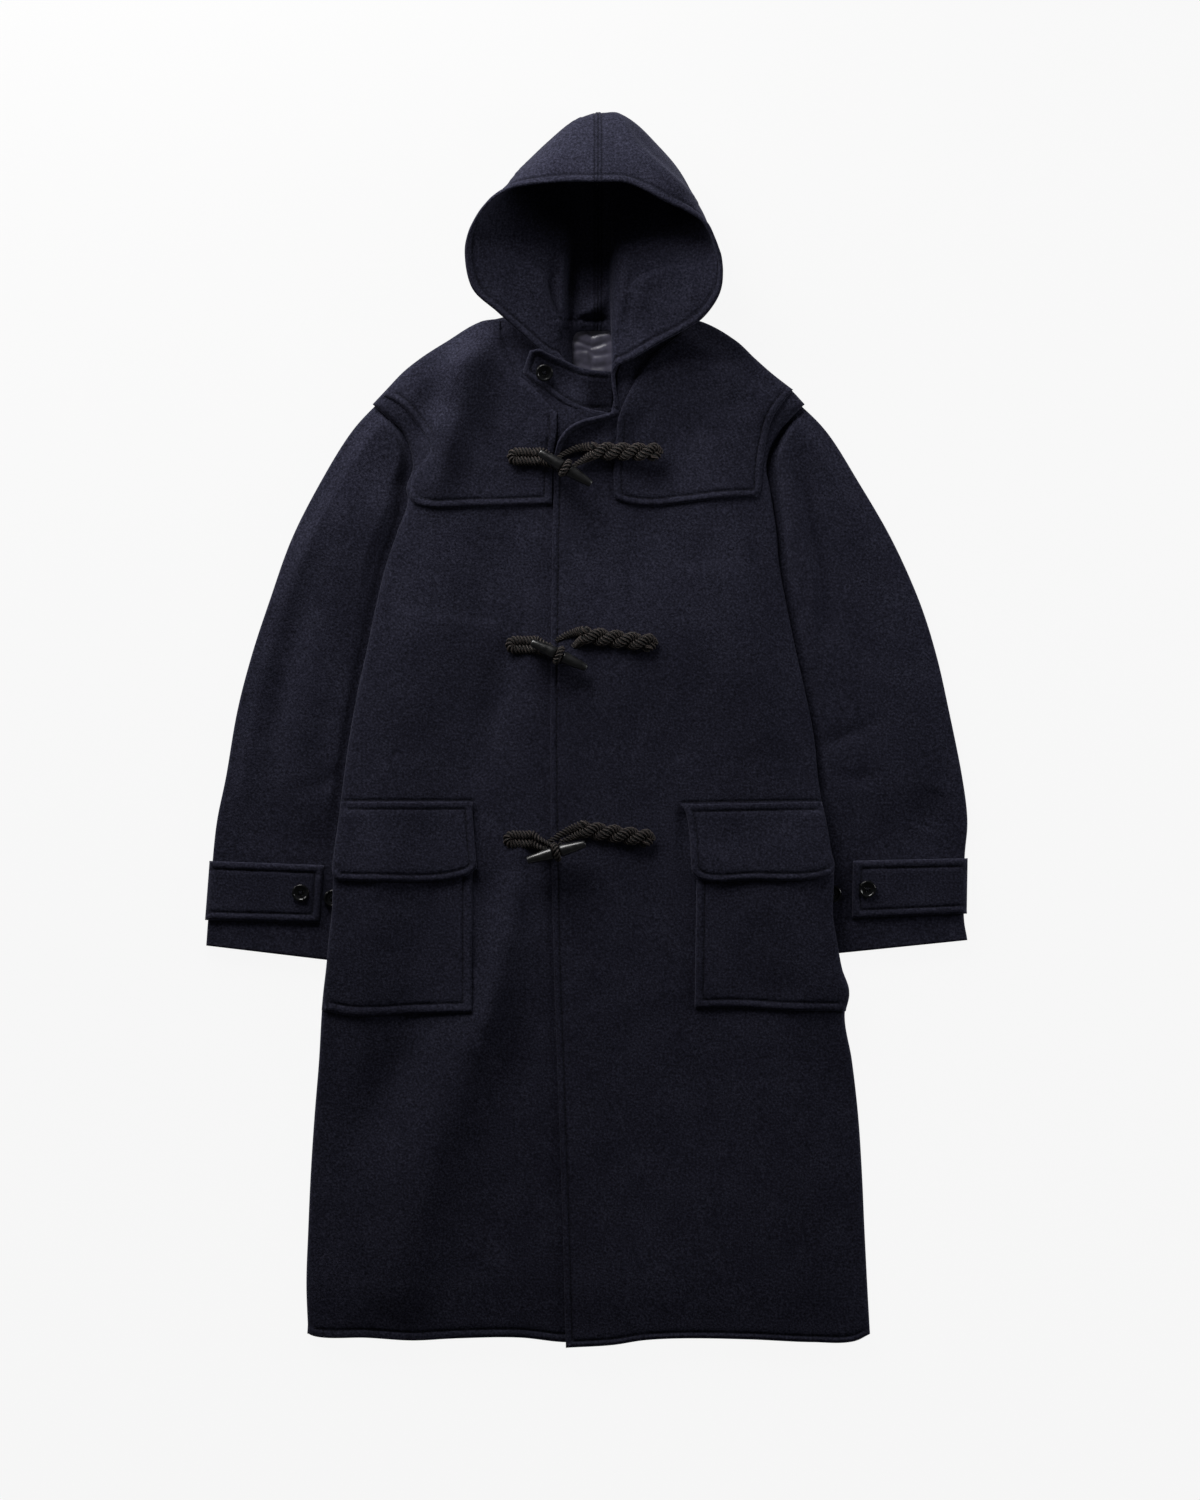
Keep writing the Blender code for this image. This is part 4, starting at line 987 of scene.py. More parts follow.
HEAD_RISE = 4.5  # and how much more near the shoulder
# Rings inside the cuff: how far back, and how far in from the outside.
CUFF_TURN = ((0.6, 1.3), (3.0, CLOTH), (18.0, CLOTH), (45.0, CLOTH))
CUFF_EDGE = (0.0, 0.15, 0.6)
CUFF_WEAR = 0.2
SLEEVE_RINGS = 170
RING_SPACING = 5.0
EDGE_SHARES = np.array((0.0, 0.0015, 0.006, 0.013, 0.024))
TOP_SHARES = np.concatenate([EDGE_SHARES, np.linspace(0.045, 0.955, 64), 1 - EDGE_SHARES[::-1]])
LOW_SHARES = np.array((0.987, 0.976, 0.8, 0.5, 0.2, 0.024, 0.013))


def bulge(edge, inset):
    """How far a flattened tube's wall stands from its middle, this far in from its edge."""
    radius = SLEEVE_HEIGHT / 2
    return (radius - inset) * np.sqrt(1 - (1 - np.clip(edge / radius, 0, 1)) ** 2)


def sleeve_height(share, width, x, y, rows, inset=0.0):
    """The top of a sleeve's upper wall: round edges, folds between, and down where the body lies on it."""
    edge = np.minimum(share, 1 - share) * width
    rounded = SLEEVE_HEIGHT / 2 + bulge(edge, inset)
    if inset:
        return rounded
    off = np.maximum(station(y, "left") - x, x - station(y, "right"))
    right = x < 0
    reach = np.where(right, 13 + 14 * np.exp(-(((y - 200) / 90) ** 2)), 11.0)
    rise = SLEEVE_RISE + np.where(right, 8.0 * np.exp(-(((y - 220) / 80) ** 2)), 0.0)
    free = rise * smooth_step((y + 128) / 80) + 0.8 + fold_field(x, y, rows) + 0.35 * ripple(x, y, 60.0, 8)
    head = smooth_step((y - 270) / 70)
    free, reach = free + HEAD_RISE * head, reach + (7.0 - reach) * head
    dip = np.where(right, 1.0, 4.0)
    return rounded + np.maximum(free * smooth_step((off - dip) / reach), -2.2) * smooth_step(edge / 24)


def add_sleeve(name, rows, fold_rows):
    """A flattened tube through its rings, from the shoulder to the cuff and a little way back inside."""
    rings = smooth(np.array(rows, float), SLEEVE_RINGS)
    total = len(rings)
    points, wear_and_shade = [], []
    for index in range(total + len(CUFF_TURN)):
        back, inset = (0.0, 0.0) if index < total else CUFF_TURN[index - total]
        ring = rings[min(index, total - 1) - int(back / RING_SPACING)]
        outer, inner = ring[:2], ring[2:]
        width = np.linalg.norm(inner - outer)
        across = (inner - outer) / width
        outer, width = outer + across * inset, width - 2 * inset
        spots = outer + across * (TOP_SHARES[:, None] * width)
        z = sleeve_height(TOP_SHARES, width, spots[:, 0], spots[:, 1], fold_rows, inset)
        if total - 3 <= index < total:
            z = z - CUFF_EDGE[index - total + 3]
        under = outer + across * (LOW_SHARES[:, None] * width)
        low_z = SLEEVE_HEIGHT / 2 - bulge(np.minimum(LOW_SHARES, 1 - LOW_SHARES) * width, inset)
        points += [np.column_stack([spots, z]), np.column_stack([under, low_z])]
        wear_and_shade_tone = CUFF_WEAR if total - 3 <= index <= total else 0.0
        wear_and_shade.append(np.full(len(spots) + len(under), WEAR_AND_SHADE_FLAT + wear_and_shade_tone))
    faces = [(a, d, c, b) for a, b, c, d in grid_faces(len(wear_and_shade), len(wear_and_shade[0]))]
    if name.endswith("left"):
        faces = [face[::-1] for face in faces]
    obj = add_mesh(f"{name}_cloth", np.concatenate(points), faces, [MELTON], np.concatenate(wear_and_shade))
    place_piece(obj, name)
    return obj


def sleeve_top(rows, fold_rows):
    """The sleeve's upper height as a function of plan, for what lies on it."""
    table = np.array(rows, float)[::-1]

    def top(x, y):
        outer = np.interp(y, table[:, 1], table[:, 0])
        inner = np.interp(y, table[:, 3], table[:, 2])
        share = np.clip((x - outer) / (inner - outer), 0.0, 1.0)
        return sleeve_height(share, np.abs(inner - outer), x, y, fold_rows)

    return top


TAB_RINGS = (9, 10)
TAB_LENGTH = 123.0
TAB_LOOK = 14.0  # how far further in along the sleeve a tab also takes its height from


def add_cuff_tab(name, rows, fold_rows):
    """A band over the sleeve, wrapped round its outer edge."""
    proud = GAP + TAB_CLOTH
    corners, ways = [], []
    for x, y, inner_x, inner_y in (rows[i] for i in TAB_RINGS):
        across = unit(np.array((inner_x - x, inner_y - y), float))
        corners.append((np.array((x, y)) - across * proud, np.array((x, y)) + across * TAB_LENGTH))
        ways.append(across)
    (outer_0, free_0), (outer_1, free_1) = corners
    outline_rows = ((*outer_0, "s"), (*free_0, "s"), (*free_1, "s"), (*outer_1, "w"))
    below = sleeve_top(rows, fold_rows)
    look_x, look_y = ways[0] * TAB_LOOK

    def top(x, y):
        return np.maximum(below(x, y), below(x + look_x, y + look_y)) + proud

    sleeve = name.replace("cuff_tab", "sleeve")
    cloth_piece(name, outline_rows, top, [sleeve], thickness=TAB_CLOTH, inset=9.0, spacing=3.0)


# ---- The hood.

HOOD_RIGHT = (
    ((-12, 363, 16), (-14, 380, 14), (-15, 400, 12), (-12, 435, 8)),
    ((-21, 399, 22), (-26, 409, 20), (-28, 429, 18), (-14, 448, 10)),
    ((-47, 414, 31), (-36, 427, 26), (-28, 444, 23), (-13, 464, 12)),
    ((-72, 436, 39), (-50, 449, 30), (-27, 468, 24), (-13, 484, 7)),
    ((-97, 458, 47), (-63, 473, 34), (-27, 493, 24), (-12, 510, 4)),
    ((-124, 483, 55), (-74, 504, 39), (-28, 522, 24), (-10, 539, 3)),
    ((-132, 522, 63), (-91, 534, 44), (-34, 548, 22), (-9, 566, 2)),
    ((-125, 549, 72), (-107, 559, 50), (-67, 570, 22), (-23, 588, 2.5)),
    ((-105, 577, 82), (-92, 587, 55), (-70, 605, 22), (-28, 622, 2.5)),
    ((-81, 590, 89), (-71, 607, 66), (-62, 622, 30), (-30, 640, 3)),
    ((-49, 595, 93), (-42, 620, 76), (-42, 642, 36), (-19, 656, 4)),
    ((-15, 597, 95), (-15, 629, 78), (-12, 662, 42), (-2, 672, 10)),
)
HOOD_LEFT = (
    ((35, 352, 27), (32, 369, 22), (30, 396, 16), (29, 435, 9)),
    ((31, 393, 34), (31, 405, 30), (30, 424, 23), (28, 448, 12)),
    ((53, 407, 39), (40, 424, 34), (31, 442, 26), (27, 464, 12)),
    ((82, 424, 42), (60, 446, 35), (35, 464, 27), (26, 484, 7)),
    ((109, 438, 48), (76, 464, 40), (37, 490, 28), (26, 510, 4)),
    ((130, 452, 54), (91, 486, 44), (40, 517, 28), (27, 539, 3)),
    ((147, 477, 62), (109, 515, 48), (42, 543, 24), (29, 566, 2)),
    ((150, 505, 68), (126, 539, 46), (71, 570, 20), (40, 591, 2.5)),
    ((142, 532, 74), (129, 558, 48), (98, 588, 20), (49, 622, 2.5)),
    ((128, 555, 81), (119, 576, 58), (105, 605, 26), (56, 638, 3)),
    ((89, 575, 89), (95, 602, 74), (81, 638, 36), (47, 656, 4)),
    ((48, 595, 94), (53, 627, 76), (45, 669, 42), (29, 673, 10)),
)
SEAM = (
    (439, 6.5), (449, 10), (466, 14), (486, 7), (513, 2.5), (541, 1.2), (570, 1.2), (594, 1.2),
    (622, 1.2), (644, 1.2), (660, 1.6), (670, 3),
)
CROWN_RIB = (
    (SEAM_X, 597, 95), (SEAM_X, 632, 78), (SEAM_X, 667, 44), (SEAM_X, 678, 16), (SEAM_X, 674, 6),
)
HOOD_FOLDS_INSIDE = (
    (4.0, 2.6, 18.0, ((-72, 514), (-61, 508), (-49, 494), (-37, 462), (-21, 424))),
    (4.0, 3.6, 3.6, ((-26, 520), (-26, 490), (-25, 460), (-24, 436))),
    (-4.0, 7.0, 7.0, ((-39, 520), (-37, 480), (-30, 440))),
    (-4.0, 4.0, 4.0, ((-11, 544), (-12, 500), (-12, 470), (-13, 446))),
    (3.6, 6.0, 10.0, ((-16, 444), (-4, 456), (10, 466), (28, 484))),
    (-3.0, 4.0, 4.0, ((-18, 450), (8, 452), (30, 450))),
    (1.8, 1.8, 14.0, ((41, 473), (56, 490), (80, 502), (100, 506), (116, 505))),
    (2.2, 9.0, 9.0, ((64, 488), (60, 474), (56, 456))),
    (2.2, 9.0, 9.0, ((112, 494), (116, 482), (114, 466))),
    (2.6, 5.0, 5.0, ((48, 520), (45, 500), (40, 470), (36, 440))),
)
HOOD_FOLDS_OUTSIDE = (
    (4.5, 5.0, 14.0, ((32, 676), (56, 636), (80, 612), (104, 590), (126, 570))),
    (4.0, 14.0, 5.0, ((2, 674), (-18, 656), (-38, 634), (-68, 610), (-78, 600))),
    (-0.9, 3.0, 3.0, ((-6, 646), (14, 645), (40, 646))),
)
INNER_FULL = 1.4
RIM_INSET = 9.0
RIM_PUFF = 0.95
SEAM_INSET = 3.8
SEAM_DEPTH = 0.6


def hood_table(ribs):
    """A half's ribs, each with its point on the seam, and the rib over the crown."""
    return np.array([*((*rib, (SEAM_X, *spot)) for rib, spot in zip(ribs, SEAM)), CROWN_RIB], float)


def normals(sheet, side):
    """A sheet's outward directions, one at each of its points."""
    down, across = (np.gradient(sheet, axis=axis) for axis in (0, 1))
    return unit(np.cross(across, down)) * side


def add_hood(name, ribs, side):
    """One side of the hood: a thick cloth through its ribs, from the front edge to the centre seam."""
    last = len(ribs) - 1
    crown_places = last + (1 - (1 - np.linspace(0, 1, 40)) ** 1.6)
    places = np.concatenate([np.linspace(0, last, 140)[:-1], crown_places])
    sheet = smooth(hood_table(ribs), places=places)
    sheet = np.swapaxes(smooth(np.swapaxes(sheet, 0, 1), 96), 0, 1)
    sheet[..., 2] = np.maximum(sheet[..., 2], CLOTH / 2 + 0.1)
    rims = [smooth(hood_table(half)[:, 0], 120)[:, :2] for half in (HOOD_RIGHT, HOOD_LEFT)]
    opening = np.concatenate([rims[0], rims[1][::-1]])
    within = inside(sheet.reshape(-1, 3)[:, :2], opening).reshape(sheet.shape[:2])
    x, y, z = np.moveaxis(sheet, 2, 0)
    inner = INNER_FULL * fold_field(x, y, HOOD_FOLDS_INSIDE) * within * (1 - smooth_step((z - 50) / 16))
    outer = fold_field(x, y, HOOD_FOLDS_OUTSIDE) * (~within) * smooth_step((z - 22) / 12)
    outer = outer + 0.5 * ripple(x + z, y, 38.0, 31) * (~within)
    sheet = sheet + normals(sheet, side) * outer[..., None]
    sheet[..., 2] = np.maximum(sheet[..., 2] + inner, CLOTH / 2 + 0.1)
    steps = np.linalg.norm(np.diff(sheet, axis=1), axis=2)
    from_rim = np.concatenate([np.zeros((len(sheet), 1)), np.cumsum(steps, axis=1)], axis=1)
    rises = np.linalg.norm(np.diff(sheet, axis=0), axis=2)
    from_crown = np.concatenate([np.cumsum(rises[::-1], axis=0)[::-1], np.zeros((1, sheet.shape[1]))])
    from_seam = np.minimum(from_rim[:, -1:] - from_rim, from_crown)
    band = np.sin(math.pi * np.clip(from_rim / RIM_INSET, 0, 1))
    sunk = np.exp(-(((from_rim - RIM_INSET) / 1.7) ** 2))
    seam = np.exp(-(((from_seam - SEAM_INSET) / 1.1) ** 2)) + np.exp(-((from_seam / 1.2) ** 2))
    seam = np.minimum(seam, 1)
    uneven = 1 + 0.3 * ripple(x, y, 9.0, 12)
    half = CLOTH / 2 + RIM_PUFF * (band - sunk) * uneven - SEAM_DEPTH * seam
    half = half * np.sqrt(1 - (1 - np.clip(from_rim / 1.9, 0, 1)) ** 2)
    # Paler along the rim's edge and band; painted shade in the rim's stitch groove and along the seams.
    wear_and_shade = WEAR_AND_SHADE_FLAT + 0.08 * band + 0.12 * np.exp(-((from_rim / 1.6) ** 2)) - 0.52 * sunk - 0.5 * seam
    out = normals(sheet, side) * half[..., None]
    points = np.concatenate([(sheet + out).reshape(-1, 3), (sheet - out).reshape(-1, 3)])
    points[:, 2] = np.maximum(points[:, 2], 0.1)
    points[:, 0] = np.maximum(points[:, 0], SEAM_X) if side > 0 else np.minimum(points[:, 0], SEAM_X)
    rows, columns = from_rim.shape
    count = rows * columns
    top = grid_faces(rows, columns, around=False)
    low = [(a, d, c, b) for a, b, c, d in grid_faces(rows, columns, count, around=False)]
    ids = [*range(columns), *range(2 * columns - 1, count, columns), *range(count - 2, count - columns - 1, -1)]
    rim = [(a, count + a, count + b, b) for a, b in zip(ids, ids[1:])]
    faces = top + low + rim
    if side < 0:
        faces = [(a, d, c, b) for a, b, c, d in faces]
    obj = add_mesh(f"{name}_cloth", points, faces, [MELTON], np.tile(wear_and_shade.ravel(), 2))
    merge(obj, 0.02)
    place_piece(obj, name)
    return obj


# ---- The throat tab.

THROAT_TAB = (
    (-61, 416, -69, 393),
    (-50, 418, -61, 385),
    (-37, 411, -47, 375),
    (-22, 405, -32, 363),
    (-6, 398, -17, 354),
    (11, 395, 0, 348),
    (32, 394, 30, 347),
)
TAB_CELL = 2.0  # only the highest CAD point of each square this wide counts
TAB_END = 26.0  # the band's height on its way under the hood, and how far it falls there
TAB_FALL = 15.5


def cad_heights(node, order):
    """A smooth surface fitted through the top of a CAD node, as a function of plan."""
    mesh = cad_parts[node].data
    spots = np.array([tuple(vert.co) for vert in mesh.vertices]) / MM - SHIFT
    keep = {}
    for key, spot in zip(map(tuple, np.round(spots[:, :2] / TAB_CELL)), spots):
        if key not in keep or spot[2] > keep[key][2]:
            keep[key] = spot
    tops = np.array(list(keep.values()))
    powers = [(i, j) for i in range(order + 1) for j in range(order + 1 - i)]

    def terms(x, y):
        return np.stack([(np.ravel(x) / 50) ** i * ((np.ravel(y) - 380) / 50) ** j for i, j in powers], axis=1)

    weights = np.linalg.lstsq(terms(tops[:, 0], tops[:, 1]), tops[:, 2], rcond=None)[0]
    most = tops[:, 0].max() - 3
    return lambda x, y: (terms(np.minimum(x, most), y) @ weights).reshape(np.shape(x))


def add_throat_tab():
    """The band over the throat; gives back its top's height as a function of plan."""
    upper = [row[:2] for row in THROAT_TAB]
    lower = [row[2:] for row in reversed(THROAT_TAB)]
    rows = [*edge("s", *upper[:-1]), *edge("h", upper[-1]), *edge("s", *lower)]
    fitted = cad_heights("throat_tab", 3)

    def top(x, y):
        end = TAB_END - TAB_FALL * smooth_step((x + 16) / 50) + 0.08 * (y - 374)
        return between(fitted(x, y), end, smooth_step((x + 26) / 34))

    sewn = {"inset": 7.5, "spacing": 2.6, "puff": 0.45, "groove": 0.6}
    cloth_piece("throat_tab", rows, top, ["front_right", "front_left"], thickness=TAB_CLOTH, **sewn)
    return top


def slope_at(top, x, y, reach=5.0):
    """How much this height rises per millimetre along x and along y."""
    xs, ys = np.array((x + reach, x - reach, x, x)), np.array((y, y, y + reach, y - reach))
    east, west, north, south = top(xs, ys)
    return (east - west) / (2 * reach), (north - south) / (2 * reach)


# ---- Buttons, toggles and cords.


def turned_mesh(profile, steps):
    """Points and faces of a solid turned about Z from (radius, height) pairs."""
    turns = np.arange(steps) * math.tau / steps
    points = [(0.0, 0.0, profile[0][1])]
    for radius, height in profile[1:-1]:
        points += [(radius * math.cos(a), radius * math.sin(a), height) for a in turns]
    points.append((0.0, 0.0, profile[-1][1]))
    rings = len(profile) - 2
    last = 1 + (rings - 1) * steps
    faces = grid_faces(rings, steps, 1)
    for j in range(steps):
        k = (j + 1) % steps
        faces += [(0, 1 + k, 1 + j), (last + j, last + k, len(points) - 1)]
    return np.array(points, float), faces


BUTTON_PROFILE = (
    (0, 0.0), (5.6, 0.0), (7.8, 0.5), (9.1, 1.2), (9.5, 1.9), (9.45, 2.5), (9.1, 3.1), (8.5, 3.5), (7.9, 3.55),
    (7.3, 3.3), (6.8, 2.8), (6.2, 2.45), (5.4, 2.25), (4.8, 2.15), *((4.3 - 0.4 * i, 2.1) for i in range(10)),
    (0.35, 2.1), (0, 2.1),
)
BUTTON_STEPS = 72
HOLE_REACH = 2.35
HOLE_RADIUS = 1.05
HOLE_DEPTH = 1.7
BUTTON_THREAD = 0.62
BUTTONS = (
    ("button_throat", -45, 392, 0.35),
    ("button_cuff_right_1", -313, -179, 0.1),
    ("button_cuff_right_2", -278, -185, 0.5),
    ("button_cuff_left_1", 310, -175, 0.0),
    ("button_cuff_left_2", 272, -180, 0.3),
)


def add_button(name, x, y, turn, tilt):
    """A dished button with four holes, crossed threads through them, tilted with what it lies on."""
    points, faces = turned_mesh(BUTTON_PROFILE, BUTTON_STEPS)
    out = np.linalg.norm(points[:, :2], axis=1)
    sunk = np.zeros(len(points))
    ways = [np.array((math.cos(angle), math.sin(angle))) for angle in turn + (np.arange(4) + 0.5) * math.pi / 2]
    for way in ways:
        off = np.linalg.norm(points[:, :2] - HOLE_REACH * way, axis=1)
        sunk += HOLE_DEPTH * (1 - smooth_step((off - HOLE_RADIUS + 0.35) / 0.5))
    points[:, 2] -= sunk * (points[:, 2] > 1.95) * (out < 5)
    slots = [0] * len(faces)
    spots = np.linspace(-HOLE_REACH, HOLE_REACH, 9)
    heights = 2.3 + 0.5 * np.cos(spots / HOLE_REACH * math.pi / 2) ** 0.5 - 0.9 * (np.abs(spots) > 2.2)
    for way in ways[:2]:
        for offset in (-0.28, 0.28):
            middle = np.outer(spots, way) + offset * np.array((-way[1], way[0]))
            tube, quads = tube_mesh(np.column_stack([middle, heights, np.full(9, BUTTON_THREAD)]), 6)
            faces += [[i + len(points) for i in quad] for quad in quads]
            slots += [1] * len(quads)
            points = np.concatenate([points, tube])
    up = unit(np.array((-tilt[0], -tilt[1], 1.0)))
    side = unit(np.cross((0, 1, 0), up))
    points = points[:, :1] * side + points[:, 1:2] * np.cross(up, side) + points[:, 2:] * up
    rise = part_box(name)[0][2] / MM - points[:, 2].min()
    points = points + np.array((x, y, rise))
    obj = add_mesh(f"{name}_turned", points, faces, [HORN_BUTTON, THREAD], slots=slots)
    place_piece(obj, name)


def tube_mesh(path, sides):
    """A round tube along rows of (x, y, z, thickness)."""
    turns = np.arange(sides) * math.tau / sides
    return sweep(path, [(math.cos(a), math.sin(a)) for a in turns], False, 0.0)[:2]


def sweep(path, profile, closed, turns):
    """Sweeps a profile of unit radius along rows of (x, y, z, thickness), twisting it this often."""
    spots, thick = path[:, :3], path[:, 3]
    count = len(path)
    way = unit(np.roll(spots, -1, 0) - np.roll(spots, 1, 0) if closed else np.gradient(spots, axis=0))
    side = np.zeros_like(way)
    first = np.cross(way[0], (0, 0, 1))
    side[0] = unit(first if np.linalg.norm(first) > 0.1 else np.cross(way[0], (1, 0, 0)))
    for i in range(1, count):
        side[i] = unit(side[i - 1] - way[i] * (side[i - 1] @ way[i]))
    up = np.cross(way, side)
    along = np.concatenate([[0], np.cumsum(np.linalg.norm(np.diff(spots, axis=0), axis=1))])
    length, closing = along[-1], 0.0
    if closed:
        length += np.linalg.norm(spots[0] - spots[-1])
        last = side[-1] - way[0] * (side[-1] @ way[0])
        closing = math.atan2(last @ up[0], last @ side[0])
    swing = along / length * (math.tau * turns - closing)
    shape = np.array(profile)
    around = len(shape)
    points = np.zeros((count, around, 3))
    uv = np.zeros((count, around, 2))
    for i in range(count):
        c, s = math.cos(swing[i]), math.sin(swing[i])
        px = (shape[:, 0] * c - shape[:, 1] * s) * thick[i] / 2
        py = (shape[:, 0] * s + shape[:, 1] * c) * thick[i] / 2
        points[i] = spots[i] + px[:, None] * side[i] + py[:, None] * up[i]
        uv[i, :, 0] = along[i] / 10.0
        uv[i, :, 1] = np.arange(around) / around * 3.0
    faces = grid_faces(count, around, closed=closed)
    if not closed:
        faces += [tuple(range(around))[::-1], tuple(range((count - 1) * around, count * around))]
    return points.reshape(-1, 3), faces, uv.reshape(-1, 2)


STRANDS = 3
STRAND_SIDES = 7
STRAND_OUT = 0.54  # a strand's middle and its radius, in a rope of radius 1
STRAND_RADIUS = 0.46
ROPE_PITCH = 11.0
ROPE_STEP = 0.9
ROPE_RISE = 12  # the way over which a stem leaves the pressed rows
ROPE_FULL = 1.2  # the strands' crowns stand out past the rope's mean size


def rope_profile():
    """Three round strands laid together, as one outline, and how far out each point is."""
    points, crown = [], []
    for strand in range(STRANDS):
        for i in range(STRAND_SIDES):
            off = (i / STRAND_SIDES - 0.5) * math.tau / STRANDS
            square = max(STRAND_RADIUS**2 - (STRAND_OUT * math.sin(off)) ** 2, 0)
            radius = STRAND_OUT * math.cos(off) + math.sqrt(square)
            angle = strand * math.tau / STRANDS + off
            points.append((radius * math.cos(angle), radius * math.sin(angle)))
            crown.append((radius - 0.3) / 0.7)
    return points, crown


def add_rope(name, route, flat, base=0.0, free=None):
    """A closed rope along (x, y, z, thickness), pressed to a share of its height over base up to x = free."""
    line = even(smooth(np.array(route, float), 12 * len(route), closed=True), ROPE_STEP, closed=True)
    length = np.linalg.norm(np.roll(line, -1, 0)[:, :3] - line[:, :3], axis=1).sum()
    profile, crown = rope_profile()
    line[:, 3] *= ROPE_FULL
    points, faces, uv = sweep(line, profile, True, max(1, round(length / ROPE_PITCH)))
    share = 0.0 if free is None else smooth_step((points[:, 0] - free) / ROPE_RISE)
    points[:, 2] = base + (points[:, 2] - base) * (flat + (1 - flat) * share)
    # How far out each point is sets the painted shade between strands and the painted highlight on their crowns.
    obj = add_mesh(f"{name}_rope", points, faces, [ROPE], np.tile(crown, len(line)), uv)
    place_piece(obj, name)


# The toggle's x, y and angle; its cord's far end, two rows and near end; the loop's mouth and far end.
FASTENINGS = (
    (-22, 287, -31.7, -80.5, 304.8, 295.2, -47, 7, 306, 75.5, 305),
    (-29, 82, -25.1, -82.5, 98, 88.4, -53, -2, 104, 70, 95.5),
    (-32, -134, 15.8, -85, -115.8, -125.4, -58, -4, -109, 67, -119),
)
STEM = ((0.3, 0.9, 6.4), (0.65, 1.0, 4.8), (0.95, 1.05, 4.8))
STEM_ASIDE = 4.2
WRAP_REACH = 150.0  # degrees from the top of the toggle to where the cord goes under it
LOOP_TURNS = 2
BIGHT = ((-12, 9), (-12, 2), (-8, -3.5), (-2, -5), (4, -3.5), (7, 2), (7, 9))
GROOVE_RADIUS = 0.56 * TOGGLE_RADIUS


def between(start, end, share):
    """The value at this share of the way from one to the other."""
    return start + (end - start) * share


def plan_ways(degrees):
    """Unit vectors along this direction in plan, and to the left of it."""
    angle = math.radians(degrees)
    return np.array((math.cos(angle), math.sin(angle), 0.0)), np.array((-math.sin(angle), math.cos(angle), 0.0))


def toggle_cord_route(fastening, middle, level):
    """Two sewn rows joined at their far end, a stem from each, and a turn round the toggle's groove."""
    _, _, angle, bar, upper, lower, end = fastening[:7]
    across = plan_ways(angle)[1]
    groove = GROOVE_RADIUS + GAP + CORD_WRAP / 2
    below = middle[2] - TOGGLE_RADIUS - GAP - CORD_UNDER / 2

    def stem(row, near, steps):
        return [
            (between(end, near[0], way), between(row, near[1], way), between(level, below, climb), thick)
            for way, climb, thick in steps
        ]

    route = [(between(end, bar + 4, i / 4), upper, level, CORD) for i in range(5)]
    route += [(bar, between(upper, lower, share), level, CORD) for share in (0.25, 0.75)]
    route += [(between(bar + 4, end, i / 4), lower, level, CORD) for i in range(5)]
    route += stem(lower, middle - across * STEM_ASIDE, STEM)
    for i in range(-8, 9):
        swing = math.radians(WRAP_REACH) * i / 8
        spot = middle + across * (groove * math.sin(swing))
        thick = CORD_WRAP * (1 - 0.25 * (i / 8) ** 2)
        route.append((spot[0], spot[1], middle[2] + groove * math.cos(swing), thick))
    return route + stem(upper, middle + across * STEM_ASIDE, STEM[::-1])


def loop_cord_route(fastening, middle, cloth):
    """Two strands twisted round each other from the far end, then one bight round the toggle's stem."""
    mouth, start = np.array((*fastening[7:9], 0.0)), np.array((*fastening[9:11], 0.0))
    run = mouth - start
    side = unit(np.array((-run[1], run[0], 0.0)))
    radius = (CORD + 0.4) / 2
    # Heights here are those before the rope is pressed flat.
    cloth = cloth / LOOP_FLAT
    level = cloth + CORD / 2
    strands = ([], [])
    for share in np.arange(25) / 24:
        swing = math.pi / 2 + share * LOOP_TURNS * math.tau
        for strand, sign in zip(strands, (1, -1)):
            spot = start + run * share + side * (sign * radius * math.sin(swing))
            strand.append((spot[0], spot[1], level + radius + sign * radius * math.cos(swing), CORD))
    upper, lower = sorted(strands, key=lambda strand: -strand[-1][1])
    along, across = plan_ways(fastening[2])
    low = (middle[2] - TOGGLE_RADIUS - 1.5 * CORD_UNDER - 4 * GAP) / LOOP_FLAT
    spots = [middle + along * a + across * b for a, b in BIGHT]
    bight = [(spot[0], spot[1], low, CORD_UNDER) for spot in spots]

    def bridge(strand, near, share, bow):
        x, y = between(strand[0], near[0], share), between(strand[1], near[1], share)
        z, thick = between(level + 1.0, low, share), between(CORD, CORD_UNDER, share)
        return x, y + bow * math.sin(math.pi * share), z, thick

    there = [bridge(upper[-1], bight[0], share, 3.0) for share in (0.25, 0.5, 0.75)]
    back = [bridge(lower[-1], bight[-1], share, 0.0) for share in (2 / 3, 1 / 3)]
    close = start - unit(run) * radius
    return [*upper, *there, *bight, *back, *lower[::-1], (close[0], close[1], level, CORD)]


TOGGLE_HALF = (
    (0.09, 0.56), (0.11, 0.62), (0.125, 0.80), (0.14, 0.94), (0.16, 0.985), (0.19, 1.0), (0.3, 0.97),
    (0.45, 0.91), (0.76, 0.73), (0.94, 0.61), (0.975, 0.56), (0.993, 0.50), (1.0, 0.42), (1.0, 0.0),
)
TOGGLE_PROFILE = (*((-share, radius) for share, radius in TOGGLE_HALF[::-1]), *TOGGLE_HALF)
TOGGLE_STEPS = 40
CORD_SINK = 1.4  # how far the sewn cords press into the cloth
ROW_END = 14  # the pressed rows end this far before the cord's near end


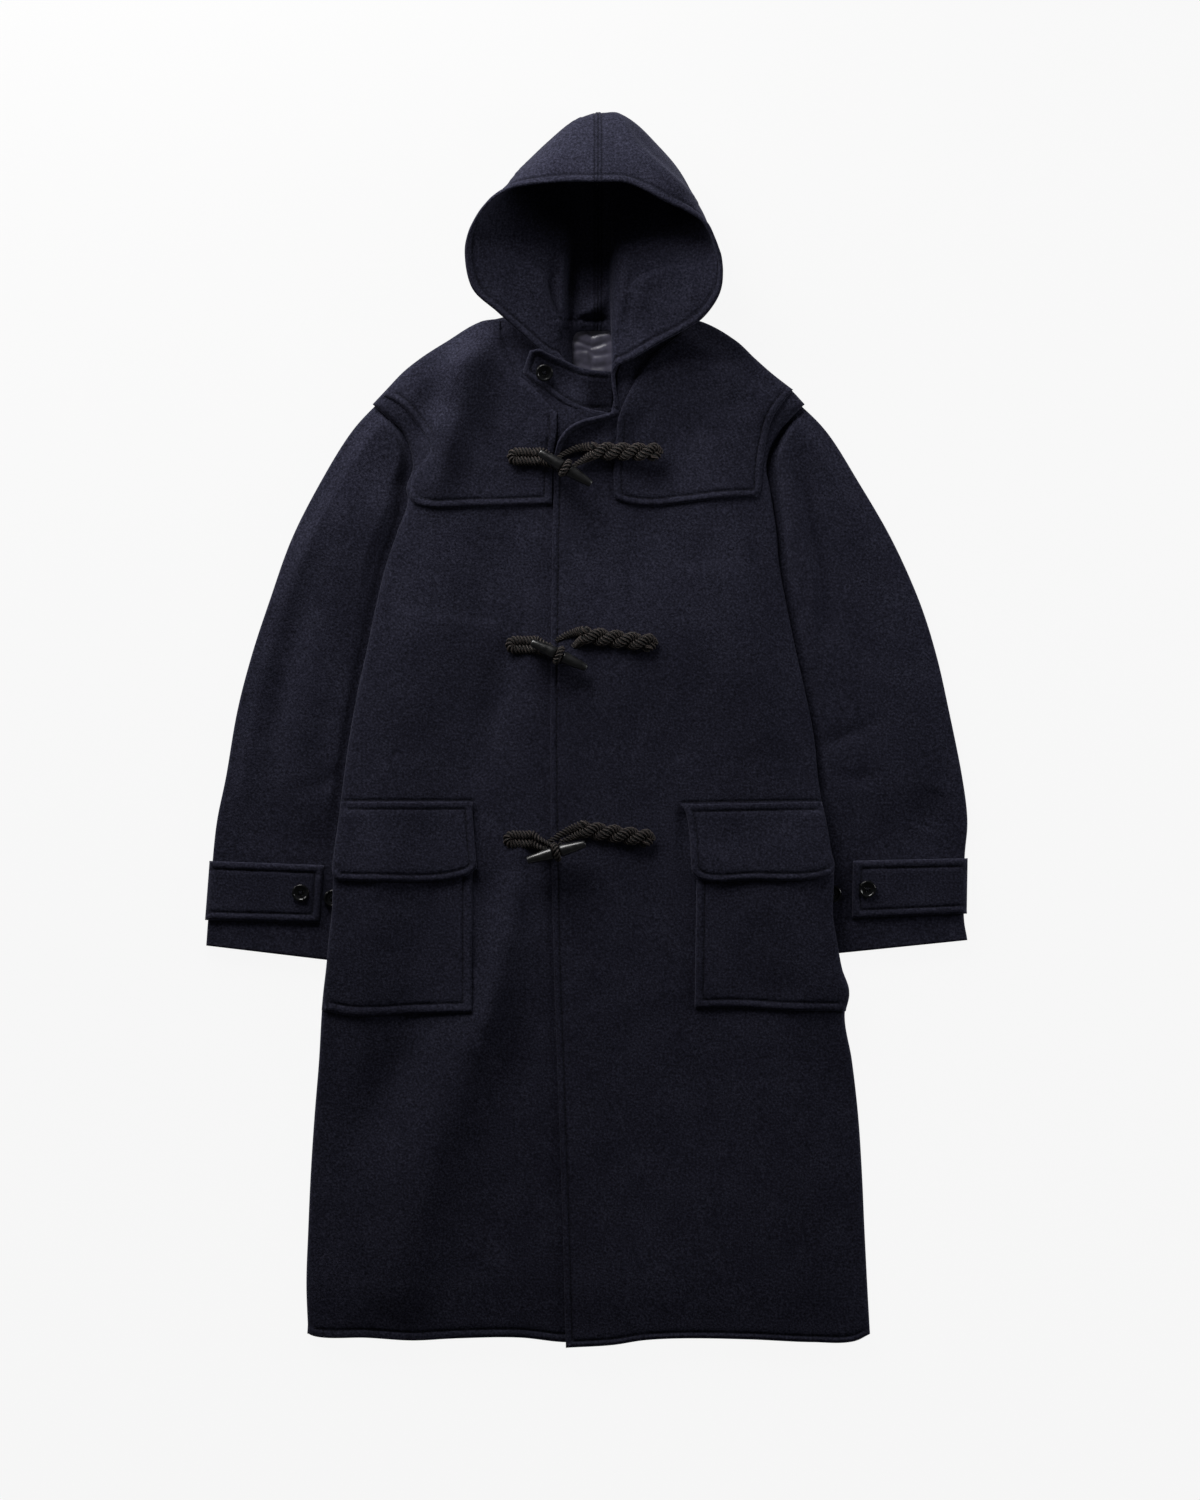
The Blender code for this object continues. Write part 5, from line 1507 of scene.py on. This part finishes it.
def add_fastenings():
    profile = [(radius * TOGGLE_RADIUS, share * TOGGLE_LENGTH / 2) for share, radius in TOGGLE_PROFILE]
    for number, fastening in enumerate(FASTENINGS, 1):
        low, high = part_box(f"toggle_{number}")
        middle = np.array((fastening[0], fastening[1], (low[2] + high[2]) / 2 / MM))
        points, faces = turned_mesh(profile, TOGGLE_STEPS)
        along, across = plan_ways(fastening[2])
        points = points[:, 2:] * along + points[:, :1] * across + points[:, 1:2] * (0, 0, 1.0) + middle
        obj = add_mesh(f"toggle_{number}_turned", points, faces, [HORN_TOGGLE])
        merge(obj, 0.001)
        place_piece(obj, f"toggle_{number}")
        yoke = STEP * (number == 1)
        rows = np.linspace(fastening[3], fastening[6], 5)
        sewn = lower_top(rows, np.full(5, fastening[4])).mean() + yoke - CORD_SINK
        route = toggle_cord_route(fastening, middle, sewn + CORD / 2)
        add_rope(f"toggle_cord_{number}", route, ROW_FLAT, sewn, fastening[6] - ROW_END)
        pair = np.linspace(fastening[7], fastening[9], 5)
        cloth = upper_top(pair, np.full(5, fastening[10])).max() + yoke - CORD_SINK
        add_rope(f"loop_cord_{number}", loop_cord_route(fastening, middle, cloth), LOOP_FLAT)


MELTON, SATIN, ROPE, THREAD = melton(), satin(), rope(), thread()
HORN_TOGGLE, HORN_BUTTON = horn("horn_toggle", 0.32, 0.45), horn("horn_button", 0.16, 0.16)

add_camera()
add_stage()
add_body()
for piece, rings, rows, flat in (
    ("sleeve_right", SLEEVE_RIGHT, SLEEVE_FOLDS_RIGHT, (0.34, 0.66)),
    ("sleeve_left", SLEEVE_LEFT, SLEEVE_FOLDS_LEFT, (0.36, 0.66)),
):
    sleeve = add_sleeve(piece, rings, rows)
    add_cuff_tab(piece.replace("sleeve", "cuff_tab"), rings, rows)
for piece, ribs, side in (("hood_right", HOOD_RIGHT, -1), ("hood_left", HOOD_LEFT, 1)):
    hood = add_hood(piece, ribs, side)
tab_top = add_throat_tab()
for name, x, y, turn in BUTTONS:
    tilt = slope_at(tab_top, x, y) if name == "button_throat" else (0.0, 0.0)
    add_button(name, x, y, turn, tilt)
add_fastenings()
